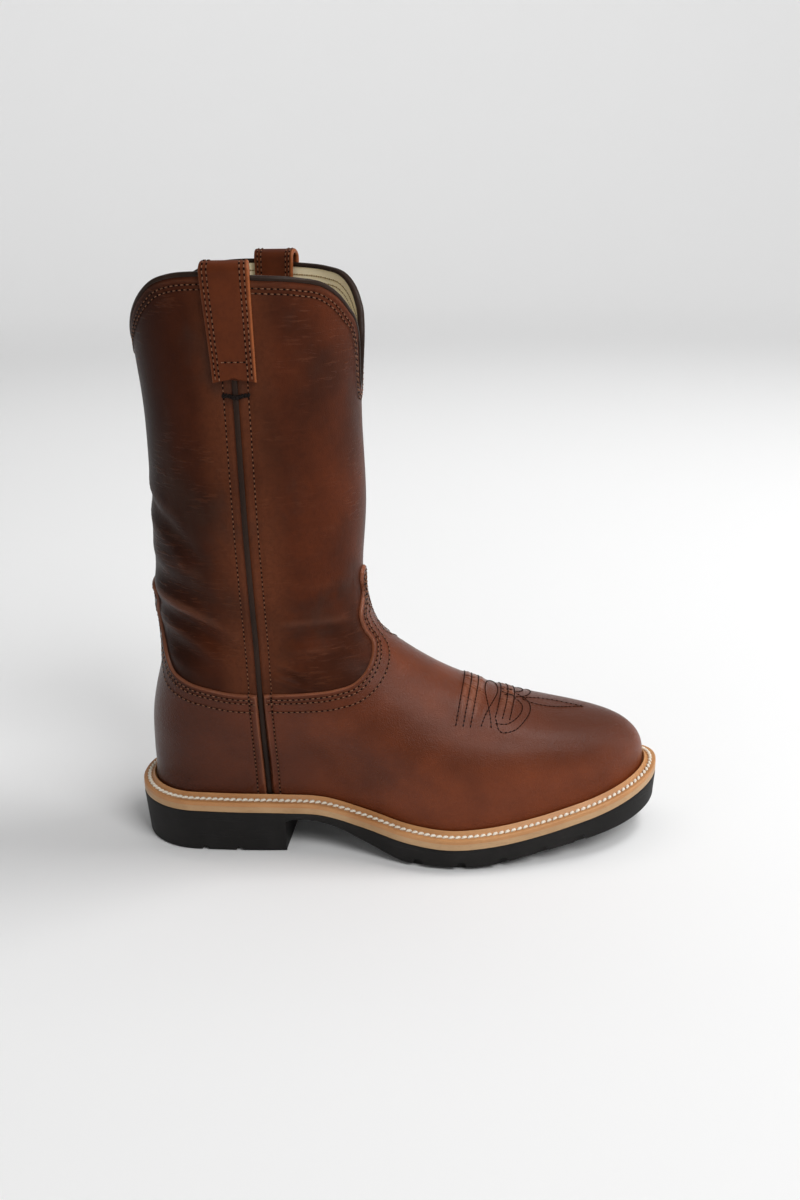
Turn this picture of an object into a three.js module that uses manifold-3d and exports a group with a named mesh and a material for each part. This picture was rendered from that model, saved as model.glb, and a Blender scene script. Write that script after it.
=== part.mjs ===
// Western work boot, right foot, pull-on, as the pieces that a boot maker joins.
// Millimetres. Toe along +X, outer side of the foot along -Y, up along +Z, floor at z = 0.

import * as THREE from "three";
import Module from "manifold-3d";

const wasm = await Module();
wasm.setup();

// Sizes of the sole
const soleLength = 305;
const ballWidth = 111;
const heelHeight = 26;
const midsoleThickness = 3.4;
const weltThickness = 2.2;
const weltReach = 7.4;
const stormBead = 2.6;
const stitchInset = 3.4;
const heelUndercut = 1.8;
const heelBreast = 92;
const lugDepth = 3.2;
const lugGap = 6;
const heelGrooveDepth = 1.6;
const heelGrooveGap = 4;

// Sizes of the upper
const instepHeight = 100;
const shaftHeight = 194;
const shaftDepth = 120;
const shaftWidth = 109;
const wall = 2.6;
const overlay = 1.7;
const insoleThickness = 3.4;

// Sizes of the trim
const pipingWidth = 2.8;
const pipingHeight = 2.3;
const seamFromHeel = 82;
const bindingDrop = 4.6;
const bindingThickness = 0.8;
const strapWidth = 24;
const strapThickness = 2.3;
const strapRise = 4;
const strapLeg = 55.5;

// What every fit leaves between two pieces
const clearance = 0.3;

const columns = 60;
const halfLength = soleLength / 2;

// The sole's stations from heel to toe. at: share of soleLength. outer, inner: half widths
// before the ends are rounded, shares of ballWidth. top: rubber's upper face, share of
// heelHeight.
const soleStations = [
  { at: 0.0, outer: 0.383, inner: 0.324, top: 1.03 },
  { at: 0.113, outer: 0.389, inner: 0.338, top: 1.003 },
  { at: 0.212, outer: 0.387, inner: 0.336, top: 0.99 },
  { at: 0.297, outer: 0.371, inner: 0.306, top: 0.97 },
  { at: 0.369, outer: 0.35, inner: 0.266, top: 0.904 },
  { at: 0.451, outer: 0.395, inner: 0.275, top: 0.745 },
  { at: 0.533, outer: 0.468, inner: 0.356, top: 0.588 },
  { at: 0.615, outer: 0.5, inner: 0.446, top: 0.525 },
  { at: 0.69, outer: 0.474, inner: 0.486, top: 0.578 },
  { at: 0.779, outer: 0.402, inner: 0.477, top: 0.725 },
  { at: 0.867, outer: 0.306, inner: 0.457, top: 0.925 },
  { at: 0.943, outer: 0.235, inner: 0.463, top: 1.128 },
  { at: 1.0, outer: 0.19, inner: 0.468, top: 1.313 },
];

// The tread's underside in front of the heel. at: share of soleLength. rise: share of
// heelHeight above the floor.
const treadStations = [
  { at: 0.28, rise: 0.715 },
  { at: 0.345, rise: 0.705 },
  { at: 0.405, rise: 0.54 },
  { at: 0.441, rise: 0.37 },
  { at: 0.479, rise: 0.19 },
  { at: 0.516, rise: 0.04 },
  { at: 0.53, rise: 0.0 },
  { at: 0.664, rise: 0.0 },
  { at: 0.7, rise: 0.05 },
  { at: 0.762, rise: 0.19 },
  { at: 0.821, rise: 0.3 },
  { at: 0.893, rise: 0.42 },
  { at: 0.95, rise: 0.52 },
  { at: 1.02, rise: 0.7 },
];

// Places of the grooves between the main lugs, shares of soleLength
const forefootGrooves = [0.553, 0.635, 0.712, 0.784, 0.853];
const heelGrooves = [0.145, 0.211];

// Sections of the foot from the feather line to the ankle. back, front: ends of the section,
// shares of soleLength from the sole's middle. backRise, frontRise: shares of instepHeight
// above the seat. outer, inner: half widths, shares of ballWidth. reach: how far the front is
// rounded, share of soleLength. oval: from the sole's own outline, 0, to the oval, 1. wave:
// how much of the welt's rise and fall is kept.
const footSections = [
  {
    back: -0.464, backRise: 0.0, front: 0.4655, frontRise: 0.06,
    outer: 0.43, inner: 0.42, reach: 0.2, oval: 0.0, wave: 1.0,
  },
  {
    back: -0.4665, backRise: 0.09, front: 0.4665, frontRise: 0.139,
    outer: 0.43, inner: 0.42, reach: 0.2, oval: 0.03, wave: 0.84,
  },
  {
    back: -0.467, backRise: 0.17, front: 0.459, frontRise: 0.211,
    outer: 0.425, inner: 0.415, reach: 0.21, oval: 0.08, wave: 0.66,
  },
  {
    back: -0.4665, backRise: 0.245, front: 0.444, frontRise: 0.278,
    outer: 0.405, inner: 0.4, reach: 0.23, oval: 0.17, wave: 0.48,
  },
  {
    back: -0.465, backRise: 0.305, front: 0.417, frontRise: 0.328,
    outer: 0.39, inner: 0.385, reach: 0.25, oval: 0.31, wave: 0.32,
  },
  {
    back: -0.4643, backRise: 0.36, front: 0.374, frontRise: 0.356,
    outer: 0.378, inner: 0.374, reach: 0.27, oval: 0.5, wave: 0.19,
  },
  {
    back: -0.463, backRise: 0.42, front: 0.308, frontRise: 0.388,
    outer: 0.362, inner: 0.358, reach: 0.29, oval: 0.7, wave: 0.09,
  },
  {
    back: -0.46, backRise: 0.485, front: 0.233, frontRise: 0.445,
    outer: 0.354, inner: 0.35, reach: 0.295, oval: 0.87, wave: 0.02,
  },
  {
    back: -0.4554, backRise: 0.555, front: 0.1615, frontRise: 0.524,
    outer: 0.354, inner: 0.35, reach: 0.29, oval: 0.97, wave: 0.0,
  },
  {
    back: -0.4482, backRise: 0.635, front: 0.097, frontRise: 0.625,
    outer: 0.36, inner: 0.356, reach: 0.275, oval: 1.0, wave: 0.0,
  },
  {
    back: -0.44, backRise: 0.725, front: 0.031, frontRise: 0.747,
    outer: 0.368, inner: 0.364, reach: 0.25, oval: 1.0, wave: 0.0,
  },
  {
    back: -0.4354, backRise: 0.83, front: -0.029, frontRise: 0.887,
    outer: 0.379, inner: 0.379, reach: 0.217, oval: 1.0, wave: 0.0,
  },
];

// Sections of the shaft from the ankle to the collar. back: share of soleLength. depth:
// share of shaftDepth. backRise, frontRise: shares of shaftHeight above the ankle. width:
// share of shaftWidth.
const shaftSections = [
  { back: -0.4384, backRise: -0.01, depth: 0.978, frontRise: 0.037, width: 0.807 },
  { back: -0.4433, backRise: 0.098, depth: 0.982, frontRise: 0.149, width: 0.863 },
  { back: -0.4384, backRise: 0.325, depth: 0.993, frontRise: 0.345, width: 0.936 },
  { back: -0.4354, backRise: 0.603, depth: 0.977, frontRise: 0.603, width: 0.972 },
  { back: -0.4452, backRise: 0.809, depth: 1.02, frontRise: 0.809, width: 0.991 },
  { back: -0.4545, backRise: 1.046, depth: 1.059, frontRise: 1.046, width: 1.009 },
];

// The collar's scallop from front to back. at: share of the way round one side. rise: share
// of shaftHeight above the ankle.
const collarStations = [
  { at: 0.0, rise: 0.668 },
  { at: 0.015, rise: 0.681 },
  { at: 0.03, rise: 0.733 },
  { at: 0.045, rise: 0.793 },
  { at: 0.07, rise: 0.843 },
  { at: 0.12, rise: 0.888 },
  { at: 0.18, rise: 0.932 },
  { at: 0.225, rise: 0.954 },
  { at: 0.3, rise: 0.969 },
  { at: 0.42, rise: 0.979 },
  { at: 0.56, rise: 0.99 },
  { at: 0.64, rise: 0.984 },
  { at: 0.7, rise: 0.968 },
  { at: 0.76, rise: 0.935 },
  { at: 0.82, rise: 0.893 },
  { at: 0.87, rise: 0.855 },
  { at: 0.93, rise: 0.812 },
  { at: 1.0, rise: 0.79 },
];

// Upper edge of the vamp from the side seam to the peak on the shin. forward: share of
// instepHeight in front of the seam. rise: share of instepHeight above the seat.
const vampEdge = [
  { forward: 0.0, rise: 0.663 },
  { forward: 0.23, rise: 0.671 },
  { forward: 0.4, rise: 0.687 },
  { forward: 0.495, rise: 0.712 },
  { forward: 0.55, rise: 0.758 },
  { forward: 0.578, rise: 0.82 },
  { forward: 0.575, rise: 0.87 },
  { forward: 0.535, rise: 0.94 },
  { forward: 0.508, rise: 1.02 },
  { forward: 0.512, rise: 1.14 },
  { forward: 0.508, rise: 1.23 },
  { forward: 0.515, rise: 1.29 },
  { forward: 0.53, rise: 1.32 },
  { forward: 0.55, rise: 1.34 },
  { forward: 0.62, rise: 1.345 },
];

// Upper edge of the counter from the side seam to the peak at the back. Columns as above,
// behind the seam.
const counterEdge = [
  { behind: 0.0, rise: 0.658 },
  { behind: 0.16, rise: 0.665 },
  { behind: 0.28, rise: 0.69 },
  { behind: 0.4, rise: 0.717 },
  { behind: 0.485, rise: 0.757 },
  { behind: 0.53, rise: 0.838 },
  { behind: 0.572, rise: 0.924 },
  { behind: 0.598, rise: 1.03 },
  { behind: 0.595, rise: 1.14 },
  { behind: 0.61, rise: 1.215 },
  { behind: 0.66, rise: 1.235 },
];

// Where the foot's centre line bends inward towards the toe
const heelCentre = -0.027 * ballWidth;
const toeCentre = 0.162 * ballWidth;
const toeBend = 2.2;

const colours = {
  rubber: "#262422",
  tan: "#b58a5f",
  welt: "#a9713b",
  shaft: "#3f221b",
  vamp: "#67351f",
  strap: "#5a2c1e",
  trim: "#3a302b",
  insole: "#c9ad86",
};

// Smooth curve through a table's rows
function follow(table, column, at) {
  const last = table.length - 1;
  const t = Math.min(Math.max(at, table[0].at), table[last].at);
  let i = 0;
  while (i < last - 1 && t > table[i + 1].at) i += 1;
  const step = (k) => table[k + 1].at - table[k].at;
  const slope = (k) => (table[k + 1][column] - table[k][column]) / step(k);
  const tangent = (k) => {
    if (k === 0) return slope(0);
    if (k === last) return slope(last - 1);
    return (slope(k - 1) * step(k) + slope(k) * step(k - 1)) / (step(k) + step(k - 1));
  };
  const h = step(i);
  const u = (t - table[i].at) / h;
  const a = 2 * u ** 3 - 3 * u ** 2 + 1;
  const b = u ** 3 - 2 * u ** 2 + u;
  const c = u ** 3 - u ** 2;
  return (
    a * table[i][column] +
    b * h * tangent(i) +
    (1 - a) * table[i + 1][column] +
    c * h * tangent(i + 1)
  );
}

// A body end rounded off over a reach, 0 at the end and 1 from the reach inwards
function rounded(distance, reach) {
  const t = Math.min(Math.max(distance / reach, 0), 1);
  const power = 2.1;
  return (1 - (1 - t) ** power) ** (1 / power);
}

// Place round a loop: the first column is the toe, then the outer side to the heel
function place(column) {
  const turn = column / columns;
  const along = (1 + Math.cos(2 * Math.PI * turn)) / 2;
  return { along, side: turn < 0.5 ? -1 : 1, round: 1 - Math.abs(1 - 2 * turn) };
}

const shareOf = (x) => (x + halfLength) / soleLength;
const centreLine = (x) => {
  const bend = Math.min(Math.max(shareOf(x), 0), 1) ** toeBend;
  return heelCentre + (toeCentre - heelCentre) * bend;
};
const rubberTop = (x) => heelHeight * follow(soleStations, "top", shareOf(x));
const midsoleBase = (x) => rubberTop(x) + clearance;
const midsoleTop = (x) => midsoleBase(x) + midsoleThickness;
const weltBase = (x) => midsoleTop(x) + clearance;
const weltTop = (x) => weltBase(x) + weltThickness;
const seat = (x) => weltTop(x) + clearance;

// The sole's outline seen from above, moved inwards by inset
const heelRound = 0.131 * soleLength;
const toeRound = 0.151 * soleLength;
function outline(column, inset = 0) {
  const edge = (k) => {
    const { along, side } = place((k + columns) % columns);
    const x = -halfLength + along * soleLength;
    const ends = rounded(x + halfLength, heelRound) * rounded(halfLength - x, toeRound);
    const half = ballWidth * follow(soleStations, side < 0 ? "outer" : "inner", along);
    const centre = centreLine(x);
    return new THREE.Vector2(x, centre + (side * half - centre) * ends);
  };
  const point = edge(column);
  const run = edge(column + 1).sub(edge(column - 1)).normalize();
  return point.add(new THREE.Vector2(run.y, -run.x).multiplyScalar(inset));
}

// One loop of the sole's outline at a height that follows its length
function soleLoop(inset, height) {
  return Array.from({ length: columns }, (_, column) => {
    const { x, y } = outline(column, inset);
    return new THREE.Vector3(x, y, height(x));
  });
}

// Solid whose skin runs through loops of equal length. A ring joins its last loop to its
// first; otherwise each end is closed straight across.
function loft(loops, ring = false) {
  const count = loops[0].length;
  const faces = [];
  const at = (r, k) => (r % loops.length) * count + (k % count);
  const rows = ring ? loops.length : loops.length - 1;
  for (let r = 0; r < rows; r += 1) {
    for (let k = 0; k < count; k += 1) {
      faces.push([at(r, k), at(r, k + 1), at(r + 1, k + 1)]);
      faces.push([at(r, k), at(r + 1, k + 1), at(r + 1, k)]);
    }
  }
  const close = (r, turned) => {
    for (let k = 0; k < count / 2; k += 1) {
      const strip = [at(r, k), at(r, k + 1), at(r, count - k - 1), at(r, (count - k) % count)];
      for (const [a, b, c] of [
        [0, 1, 2],
        [0, 2, 3],
      ]) {
        const face = [strip[a], strip[b], strip[c]];
        if (new Set(face).size === 3) faces.push(turned ? face.reverse() : face);
      }
    }
  };
  if (!ring) {
    close(0, true);
    close(loops.length - 1, false);
  }
  return solid(loops.flat(), faces);
}

// Closed solid of points and faces, turned to face out
function solid(points, faces) {
  const volume = faces.reduce((sum, [a, b, c]) => {
    const across = new THREE.Vector3().crossVectors(points[b], points[c]);
    return sum + points[a].dot(across);
  }, 0);
  const out = volume < 0 ? faces.map(([a, b, c]) => [a, c, b]) : faces;
  const mesh = new wasm.Mesh({
    numProp: 3,
    vertProperties: new Float32Array(points.flatMap((p) => [p.x, p.y, p.z])),
    triVerts: new Uint32Array(out.flat()),
  });
  return new wasm.Manifold(mesh);
}

// A flat outline of [x, z] points, drawn right through the boot from side to side
function throughBoot(profile, from = -ballWidth, to = ballWidth) {
  const shape = new THREE.Shape(profile.map(([x, z]) => new THREE.Vector2(x, z)));
  const geometry = new THREE.ExtrudeGeometry(shape, { depth: to - from, bevelEnabled: false });
  geometry.rotateX(Math.PI / 2).translate(0, to, 0);
  return fromGeometry(geometry);
}

// Closed solid of a three.js geometry, its doubled corners joined
function fromGeometry(geometry) {
  const flat = geometry.index ? geometry.toNonIndexed() : geometry;
  const corners = new Map();
  const points = [];
  const index = [];
  const position = flat.getAttribute("position");
  for (let k = 0; k < position.count; k += 1) {
    const point = new THREE.Vector3().fromBufferAttribute(position, k);
    const key = point.toArray().map((value) => Math.round(value * 1e4)).join();
    if (!corners.has(key)) corners.set(key, points.push(point) - 1);
    index.push(corners.get(key));
  }
  const faces = [];
  for (let k = 0; k < index.length; k += 3) {
    const face = index.slice(k, k + 3);
    if (new Set(face).size === 3) faces.push(face);
  }
  return solid(points, faces);
}

// Rubber sole with its heel, arch, toe spring and lugs
function outsole() {
  const breast = -halfLength + heelBreast;
  const body = loft([
    soleLoop(heelUndercut, () => 0),
    soleLoop(0, rubberTop),
  ]);
  const treadSteps = 26;
  const hair = 0.001;
  const tread = (x) =>
    heelHeight * Math.max(follow(treadStations, "rise", (x + halfLength) / soleLength), 0);
  const start = breast + heelUndercut;
  const end = halfLength * (2 * treadStations[treadStations.length - 1].at - 1);
  const under = [[breast, -lugDepth]];
  for (let k = 0; k <= treadSteps; k += 1) {
    const x = start + ((end - start) * k) / treadSteps;
    under.push([x, tread(x) - hair]);
  }
  under.push([end, -lugDepth]);
  let rubber = body.subtract(throughBoot(under));
  for (const at of forefootGrooves) {
    const x = -halfLength + at * soleLength;
    rubber = rubber.subtract(throughBoot(grooveProfile(x, tread(x), lugGap, lugDepth)));
  }
  for (const at of heelGrooves) {
    const x = -halfLength + at * soleLength;
    rubber = rubber.subtract(throughBoot(grooveProfile(x, 0, heelGrooveGap, heelGrooveDepth)));
  }
  return rubber;
}

// Trapezoid groove with its mouth on the tread
function grooveProfile(x, z, gap, depth) {
  const mouth = gap / 2;
  const root = gap / 4;
  return [
    [x - 2 * mouth + root, z - depth],
    [x + 2 * mouth - root, z - depth],
    [x + root, z + depth],
    [x - root, z + depth],
  ];
}

function midsole() {
  return loft([soleLoop(0, midsoleBase), soleLoop(0, midsoleTop)]);
}

// The foot stands in from the welt's edge by the welt's reach and its overlay
const featherInset = weltReach + overlay + 2 * clearance;

// Strip round the whole foot: a stitched shelf outside and a storm bead against the upper
function welt() {
  const inner = featherInset + wall;
  const shelf = (x) => weltTop(x);
  return loft(
    [
      soleLoop(0, weltBase),
      soleLoop(0, (x) => weltTop(x) - weltThickness * 0.3),
      soleLoop(stitchInset, shelf),
      soleLoop(weltReach - stormBead * 0.6, (x) => weltTop(x) + stormBead * 0.85),
      soleLoop(weltReach - stormBead * 0.3, (x) => weltTop(x) + stormBead),
      soleLoop(weltReach, shelf),
      soleLoop(inner, shelf),
      soleLoop(inner, weltBase),
    ],
    true,
  );
}

function insole() {
  const inset = featherInset + wall + 3 * clearance;
  const base = (x) => midsoleTop(x) + clearance;
  return loft([
    soleLoop(inset, base),
    soleLoop(inset, (x) => base(x) + insoleThickness),
  ]);
}

// The upper's sections in millimetres, numbered from the feather line up
const ankle = weltTop(-halfLength) + instepHeight;
const sections = [
  ...footSections.map((row) => ({
    back: row.back * soleLength,
    front: row.front * soleLength,
    backZ: ankle + (row.backRise - 1) * instepHeight,
    frontZ: ankle + (row.frontRise - 1) * instepHeight,
    outer: row.outer * ballWidth,
    inner: row.inner * ballWidth,
    frontReach: row.reach * soleLength,
    backReach: heelRound,
    oval: row.oval,
    wave: row.wave,
    lean: row.backRise,
  })),
  ...shaftSections.map((row) => ({
    back: row.back * soleLength,
    front: row.back * soleLength + row.depth * shaftDepth,
    backZ: ankle + row.backRise * shaftHeight,
    frontZ: ankle + row.frontRise * shaftHeight,
    outer: (row.width * shaftWidth) / 2,
    inner: (row.width * shaftWidth) / 2,
    frontReach: (row.depth * shaftDepth) / 2,
    backReach: (row.depth * shaftDepth) / 2,
    oval: 1,
    wave: 0,
    lean: 1,
  })),
].map((row, at) => ({ at, ...row }));
const firstShaftSection = footSections.length;
const topSection = sections.length - 1;

// A point of the upper's outside, at a height given as a section number
function upperPoint(level, column) {
  const row = (name) => follow(sections, name, level);
  const { along, side } = place(column);
  const back = row("back");
  const front = row("front");
  const x = back + (front - back) * along;
  const feather = outline(column, featherInset);
  const ends = rounded(x - back, row("backReach")) * rounded(front - x, row("frontReach"));
  const lean = (1 - Math.min(row("lean"), 1)) * centreLine(x);
  const ovalY = lean + side * row(side < 0 ? "outer" : "inner") * ends;
  const oval = Math.min(Math.max(row("oval"), 0), 1);
  const y = feather.y + (ovalY - feather.y) * oval;
  const straight = row("backZ") + (row("frontZ") - row("backZ")) * along;
  const heel = seat(outline(columns / 2, featherInset).x);
  const toe = seat(outline(0, featherInset).x);
  const dip = seat(feather.x) - (heel + (toe - heel) * along);
  const z = level <= 0 ? seat(feather.x) : straight + Math.max(row("wave"), 0) * dip;
  return new THREE.Vector3(level <= 0 ? feather.x : x, y, z);
}

// Section number at which a column of the shaft reaches a height
function levelAt(z, column) {
  let low = firstShaftSection - 1;
  let high = topSection;
  for (let k = 0; k < 30; k += 1) {
    const middle = (low + high) / 2;
    if (upperPoint(middle, column).z < z) low = middle;
    else high = middle;
  }
  return (low + high) / 2;
}

const collarHeight = (column) =>
  ankle + shaftHeight * follow(collarStations, "rise", place(column).round);
const collarLevel = Array.from({ length: columns }, (_, column) =>
  levelAt(collarHeight(column), column),
);

// Direction straight out of the upper
function outward(level, column) {
  const step = 0.5;
  const around = upperPoint(level, (column + step) % columns).sub(
    upperPoint(level, (column - step + columns) % columns),
  );
  const up = upperPoint(level + step, column).sub(upperPoint(Math.max(level - step, 0), column));
  const out = up.cross(around);
  if (level <= 0) out.z = 0;
  return out.normalize();
}

function offsetPoint(level, column, offset) {
  const point = upperPoint(level, column).addScaledVector(outward(level, column), offset);
  return level <= 0 ? point.setZ(seat(point.x)) : point;
}

// One loop of the upper, moved out by offset
const offsetLoop = (level, offset) =>
  Array.from({ length: columns }, (_, column) =>
    offsetPoint(typeof level === "function" ? level(column) : level, column, offset),
  );

// Levels shared by the upper and its overlays, up past the overlays' peaks
const lastOverlayLevel = firstShaftSection + 1.3;
const overlayLevels = [
  ...Array.from({ length: firstShaftSection + 1 }, (_, level) => level),
  firstShaftSection + 0.65,
  lastOverlayLevel,
];

// Level of a shaft loop above them, at a share of the way up to the collar
const shaftLevel = (share) => (column) =>
  lastOverlayLevel + (collarLevel[column] - lastOverlayLevel) * share;
const shaftShares = [0.35, 0.7, 1];

// Hollow leather shell of foot and shaft, open at the collar and underneath
function upper() {
  const outside = [...overlayLevels, ...shaftShares.map(shaftLevel)];
  const inside = [
    ...overlayLevels.filter((level) => level < 2 || level % 2 === 1 || level > 8),
    ...shaftShares.slice(1).map(shaftLevel),
  ];
  return loft(
    [
      ...outside.map((level) => offsetLoop(level, 0)),
      ...inside.reverse().map((level) => offsetLoop(level, -wall)),
    ],
    true,
  );
}

// Closed body of the upper's own form, moved out by offset, with a skirt below the seat
function form(offset, skirt) {
  const feather = offsetLoop(0, offset);
  const hem = feather.map((point) => point.clone().setZ(point.z - skirt));
  const loops = overlayLevels.slice(1).map((level) => offsetLoop(level, offset));
  return loft(skirt > 0 ? [hem, feather, ...loops] : [feather, ...loops]);
}

const layer = form(clearance + overlay, 0).subtract(form(clearance, weltThickness));
const seam = -halfLength + seamFromHeel;
const seamGap = pipingWidth / 2 + clearance;
const overlayZ = (rise) => ankle + (rise - 1) * instepHeight;

// Leather over the front of the foot, with its peak up the shin
function vamp() {
  const edge = vampEdge.map(({ forward, rise }) => [
    seam + seamGap + forward * instepHeight,
    overlayZ(rise),
  ]);
  const profile = [
    [seam + seamGap, 0],
    [soleLength, 0],
    [soleLength, edge[edge.length - 1][1]],
    ...edge.reverse(),
  ];
  return layer.intersect(throughBoot(profile));
}

// Leather over the heel, with its peak up the back
function counter() {
  const edge = counterEdge.map(({ behind, rise }) => [
    seam - seamGap - behind * instepHeight,
    overlayZ(rise),
  ]);
  const profile = [
    [seam - seamGap, 0],
    ...edge,
    [-soleLength, edge[edge.length - 1][1]],
    [-soleLength, 0],
  ];
  return layer.intersect(throughBoot(profile));
}

// Column whose x on a shaft or foot level is nearest to a place, on one side
function columnAt(level, x, side) {
  let low = 0;
  let high = columns / 2;
  for (let k = 0; k < 30; k += 1) {
    const middle = (low + high) / 2;
    if (upperPoint(level, middle).x > x) low = middle;
    else high = middle;
  }
  return side < 0 ? low : columns - low;
}

const strapTop = ankle + shaftHeight + strapRise;
const strapFoot = strapTop - strapThickness - strapLeg;

// Raised cord along the side seam, from the welt to the strap
function piping(side) {
  const top = strapFoot - clearance;
  const levels = [
    ...overlayLevels.map((level) => () => level),
    ...[0.35, 0.7, 1].map((share) => (column) => {
      const end = levelAt(top, column);
      return lastOverlayLevel + (end - lastOverlayLevel) * share;
    }),
  ];
  const ring = (levelOf) => {
    const corner = (reach, offset) => {
      const level = levelOf(columnAt(firstShaftSection, seam + reach, side));
      const point = offsetPoint(level, columnAt(level, seam + reach, side), offset);
      return point.setX(seam + reach);
    };
    const half = pipingWidth / 2;
    const behindBead = levelOf(0) < 1.5;
    const crown = clearance + (behindBead ? overlay : pipingHeight);
    return [
      corner(-half, clearance),
      corner(half, clearance),
      corner(half * 0.6, crown),
      corner(-half * 0.6, crown),
    ];
  };
  return loft(levels.map(ring));
}

// Binding folded over the collar's edge
function binding() {
  const outer = clearance + bindingThickness;
  const crown = 2 * clearance + bindingThickness;
  const profile = [
    { drop: bindingDrop, offset: 2 * clearance },
    { drop: bindingDrop, offset: clearance + outer },
    { drop: 0, offset: outer },
    { drop: -crown, offset: 0 },
    { drop: -crown, offset: -wall },
    { drop: 0, offset: -wall - clearance - outer },
    { drop: bindingDrop * 0.6, offset: -wall - clearance - outer },
    { drop: bindingDrop * 0.6, offset: -wall - 2 * clearance },
    { drop: -2 * clearance, offset: -wall - clearance },
    { drop: -2 * clearance, offset: clearance },
  ];
  const edge = collarLevel.map((level, column) => upperPoint(level, column));
  const frames = edge.map((point, column) => {
    const out = outward(collarLevel[column], column);
    const below = (a, b) => b.clone().sub(a).cross(out).normalize();
    const before = below(edge[(column + columns - 1) % columns], point);
    const after = below(point, edge[(column + 1) % columns]);
    const down = before.clone().add(after).normalize();
    if (down.z > 0) down.negate();
    return { point, out, down, mitre: 1 / Math.max(Math.abs(down.dot(before)), 0.35) };
  });
  return loft(
    profile.map(({ drop, offset }) =>
      frames.map(({ point, out, down, mitre }) =>
        point
          .clone()
          .addScaledVector(down, drop * Math.min(mitre, drop > 0 ? 1.3 : mitre))
          .addScaledVector(out, offset),
      ),
    ),
    true,
  );
}

// Pull strap: up the outside of the shaft, over the collar in a loop and down the inside
function strap(side) {
  const half = strapThickness / 2;
  const overBinding = 3 * clearance + bindingThickness;
  const bend = wall / 2 + overBinding + half;
  const spring = strapTop - half - bend;
  const legStops = [0, 0.4, 0.8, 1];
  const path = [
    ...legStops.map((share) => ({ z: strapFoot + (spring - strapFoot) * share, turn: 0 })),
    ...[1, 2, 3, 4, 5].map((step) => ({ z: spring, turn: (step * Math.PI) / 6 })),
    ...legStops
      .slice()
      .reverse()
      .map((share) => ({ z: strapFoot + (spring - strapFoot) * share, turn: Math.PI })),
  ];
  const across = [-0.5, -0.25, 0, 0.25, 0.5];
  const station = ({ z, turn }) => {
    const legShare = (z - strapFoot) / (spring - strapFoot);
    const lift = clearance + (overBinding - clearance) * Math.min(legShare / 0.8, 1) ** 2;
    const radius = wall / 2 + lift + half;
    const spread = strapWidth * (0.9 + 0.1 * legShare);
    const point = (share, shift) => {
      const x = seam + (side * strapWidth * legShare) / 16 + share * spread;
      const level = levelAt(z, columnAt(topSection - 1, x, side));
      const column = columnAt(level, x, side);
      const middle = offsetPoint(level, column, -wall / 2);
      const out = outward(level, column);
      out.z = 0;
      out.normalize();
      return middle
        .addScaledVector(out, Math.cos(turn) * (radius + shift))
        .add(new THREE.Vector3(0, 0, Math.sin(turn) * (radius + shift)));
    };
    return [
      ...across.map((share) => point(share, half)),
      ...across.slice().reverse().map((share) => point(share, -half)),
    ];
  };
  return loft(path.map(station));
}

// Three.js geometry of a solid
function toGeometry(body) {
  const { vertProperties, triVerts } = body.getMesh();
  const geometry = new THREE.BufferGeometry();
  geometry.setAttribute("position", new THREE.BufferAttribute(new Float32Array(vertProperties), 3));
  geometry.setIndex(new THREE.BufferAttribute(new Uint32Array(triVerts), 1));
  geometry.computeVertexNormals();
  return geometry;
}

function piece(name, body, color, roughness) {
  const material = new THREE.MeshStandardMaterial({ color, roughness, metalness: 0 });
  const mesh = new THREE.Mesh(toGeometry(body), material);
  mesh.name = name;
  return mesh;
}

const boot = new THREE.Group();
boot.add(
  piece("outsole", outsole(), colours.rubber, 0.7),
  piece("midsole", midsole(), colours.tan, 0.6),
  piece("welt", welt(), colours.welt, 0.5),
  piece("insole", insole(), colours.insole, 0.8),
  piece("upper", upper(), colours.shaft, 0.45),
  piece("vamp", vamp(), colours.vamp, 0.4),
  piece("counter", counter(), colours.vamp, 0.4),
  piece("piping-outer", piping(-1), colours.trim, 0.6),
  piece("piping-inner", piping(1), colours.trim, 0.6),
  piece("collar-binding", binding(), colours.trim, 0.6),
  piece("pull-strap-outer", strap(-1), colours.strap, 0.4),
  piece("pull-strap-inner", strap(1), colours.strap, 0.4),
);

export default boot;
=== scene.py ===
"""Looks of a pull-on western work boot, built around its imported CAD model."""

import logging
import math
from dataclasses import dataclass, field
from enum import Enum
from typing import Any, Callable, Sequence

import bpy
import numpy as np
from mathutils import Matrix, Vector


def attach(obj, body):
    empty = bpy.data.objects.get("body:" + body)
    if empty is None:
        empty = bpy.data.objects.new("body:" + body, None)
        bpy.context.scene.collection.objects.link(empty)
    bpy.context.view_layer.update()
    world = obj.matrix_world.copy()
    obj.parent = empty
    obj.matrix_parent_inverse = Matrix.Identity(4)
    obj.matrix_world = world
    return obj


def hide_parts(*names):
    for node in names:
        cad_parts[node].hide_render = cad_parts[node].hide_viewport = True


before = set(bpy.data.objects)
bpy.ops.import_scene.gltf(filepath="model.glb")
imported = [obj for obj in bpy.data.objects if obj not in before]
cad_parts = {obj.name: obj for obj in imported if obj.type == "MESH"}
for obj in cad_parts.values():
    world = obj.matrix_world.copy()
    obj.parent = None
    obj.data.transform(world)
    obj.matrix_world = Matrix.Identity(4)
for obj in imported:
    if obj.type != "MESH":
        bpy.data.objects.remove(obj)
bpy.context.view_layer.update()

log = logging.getLogger("boot")
MM = 0.001
Array = np.ndarray
Colour = tuple[float, float, float]


class Side(Enum):
    """Sides of a right boot."""

    OUTER = -1
    INNER = 1


class Panel(Enum):
    """Leather panels laid over the foot, by which way they lie from the side seam."""

    VAMP = 1
    COUNTER = -1


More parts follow.
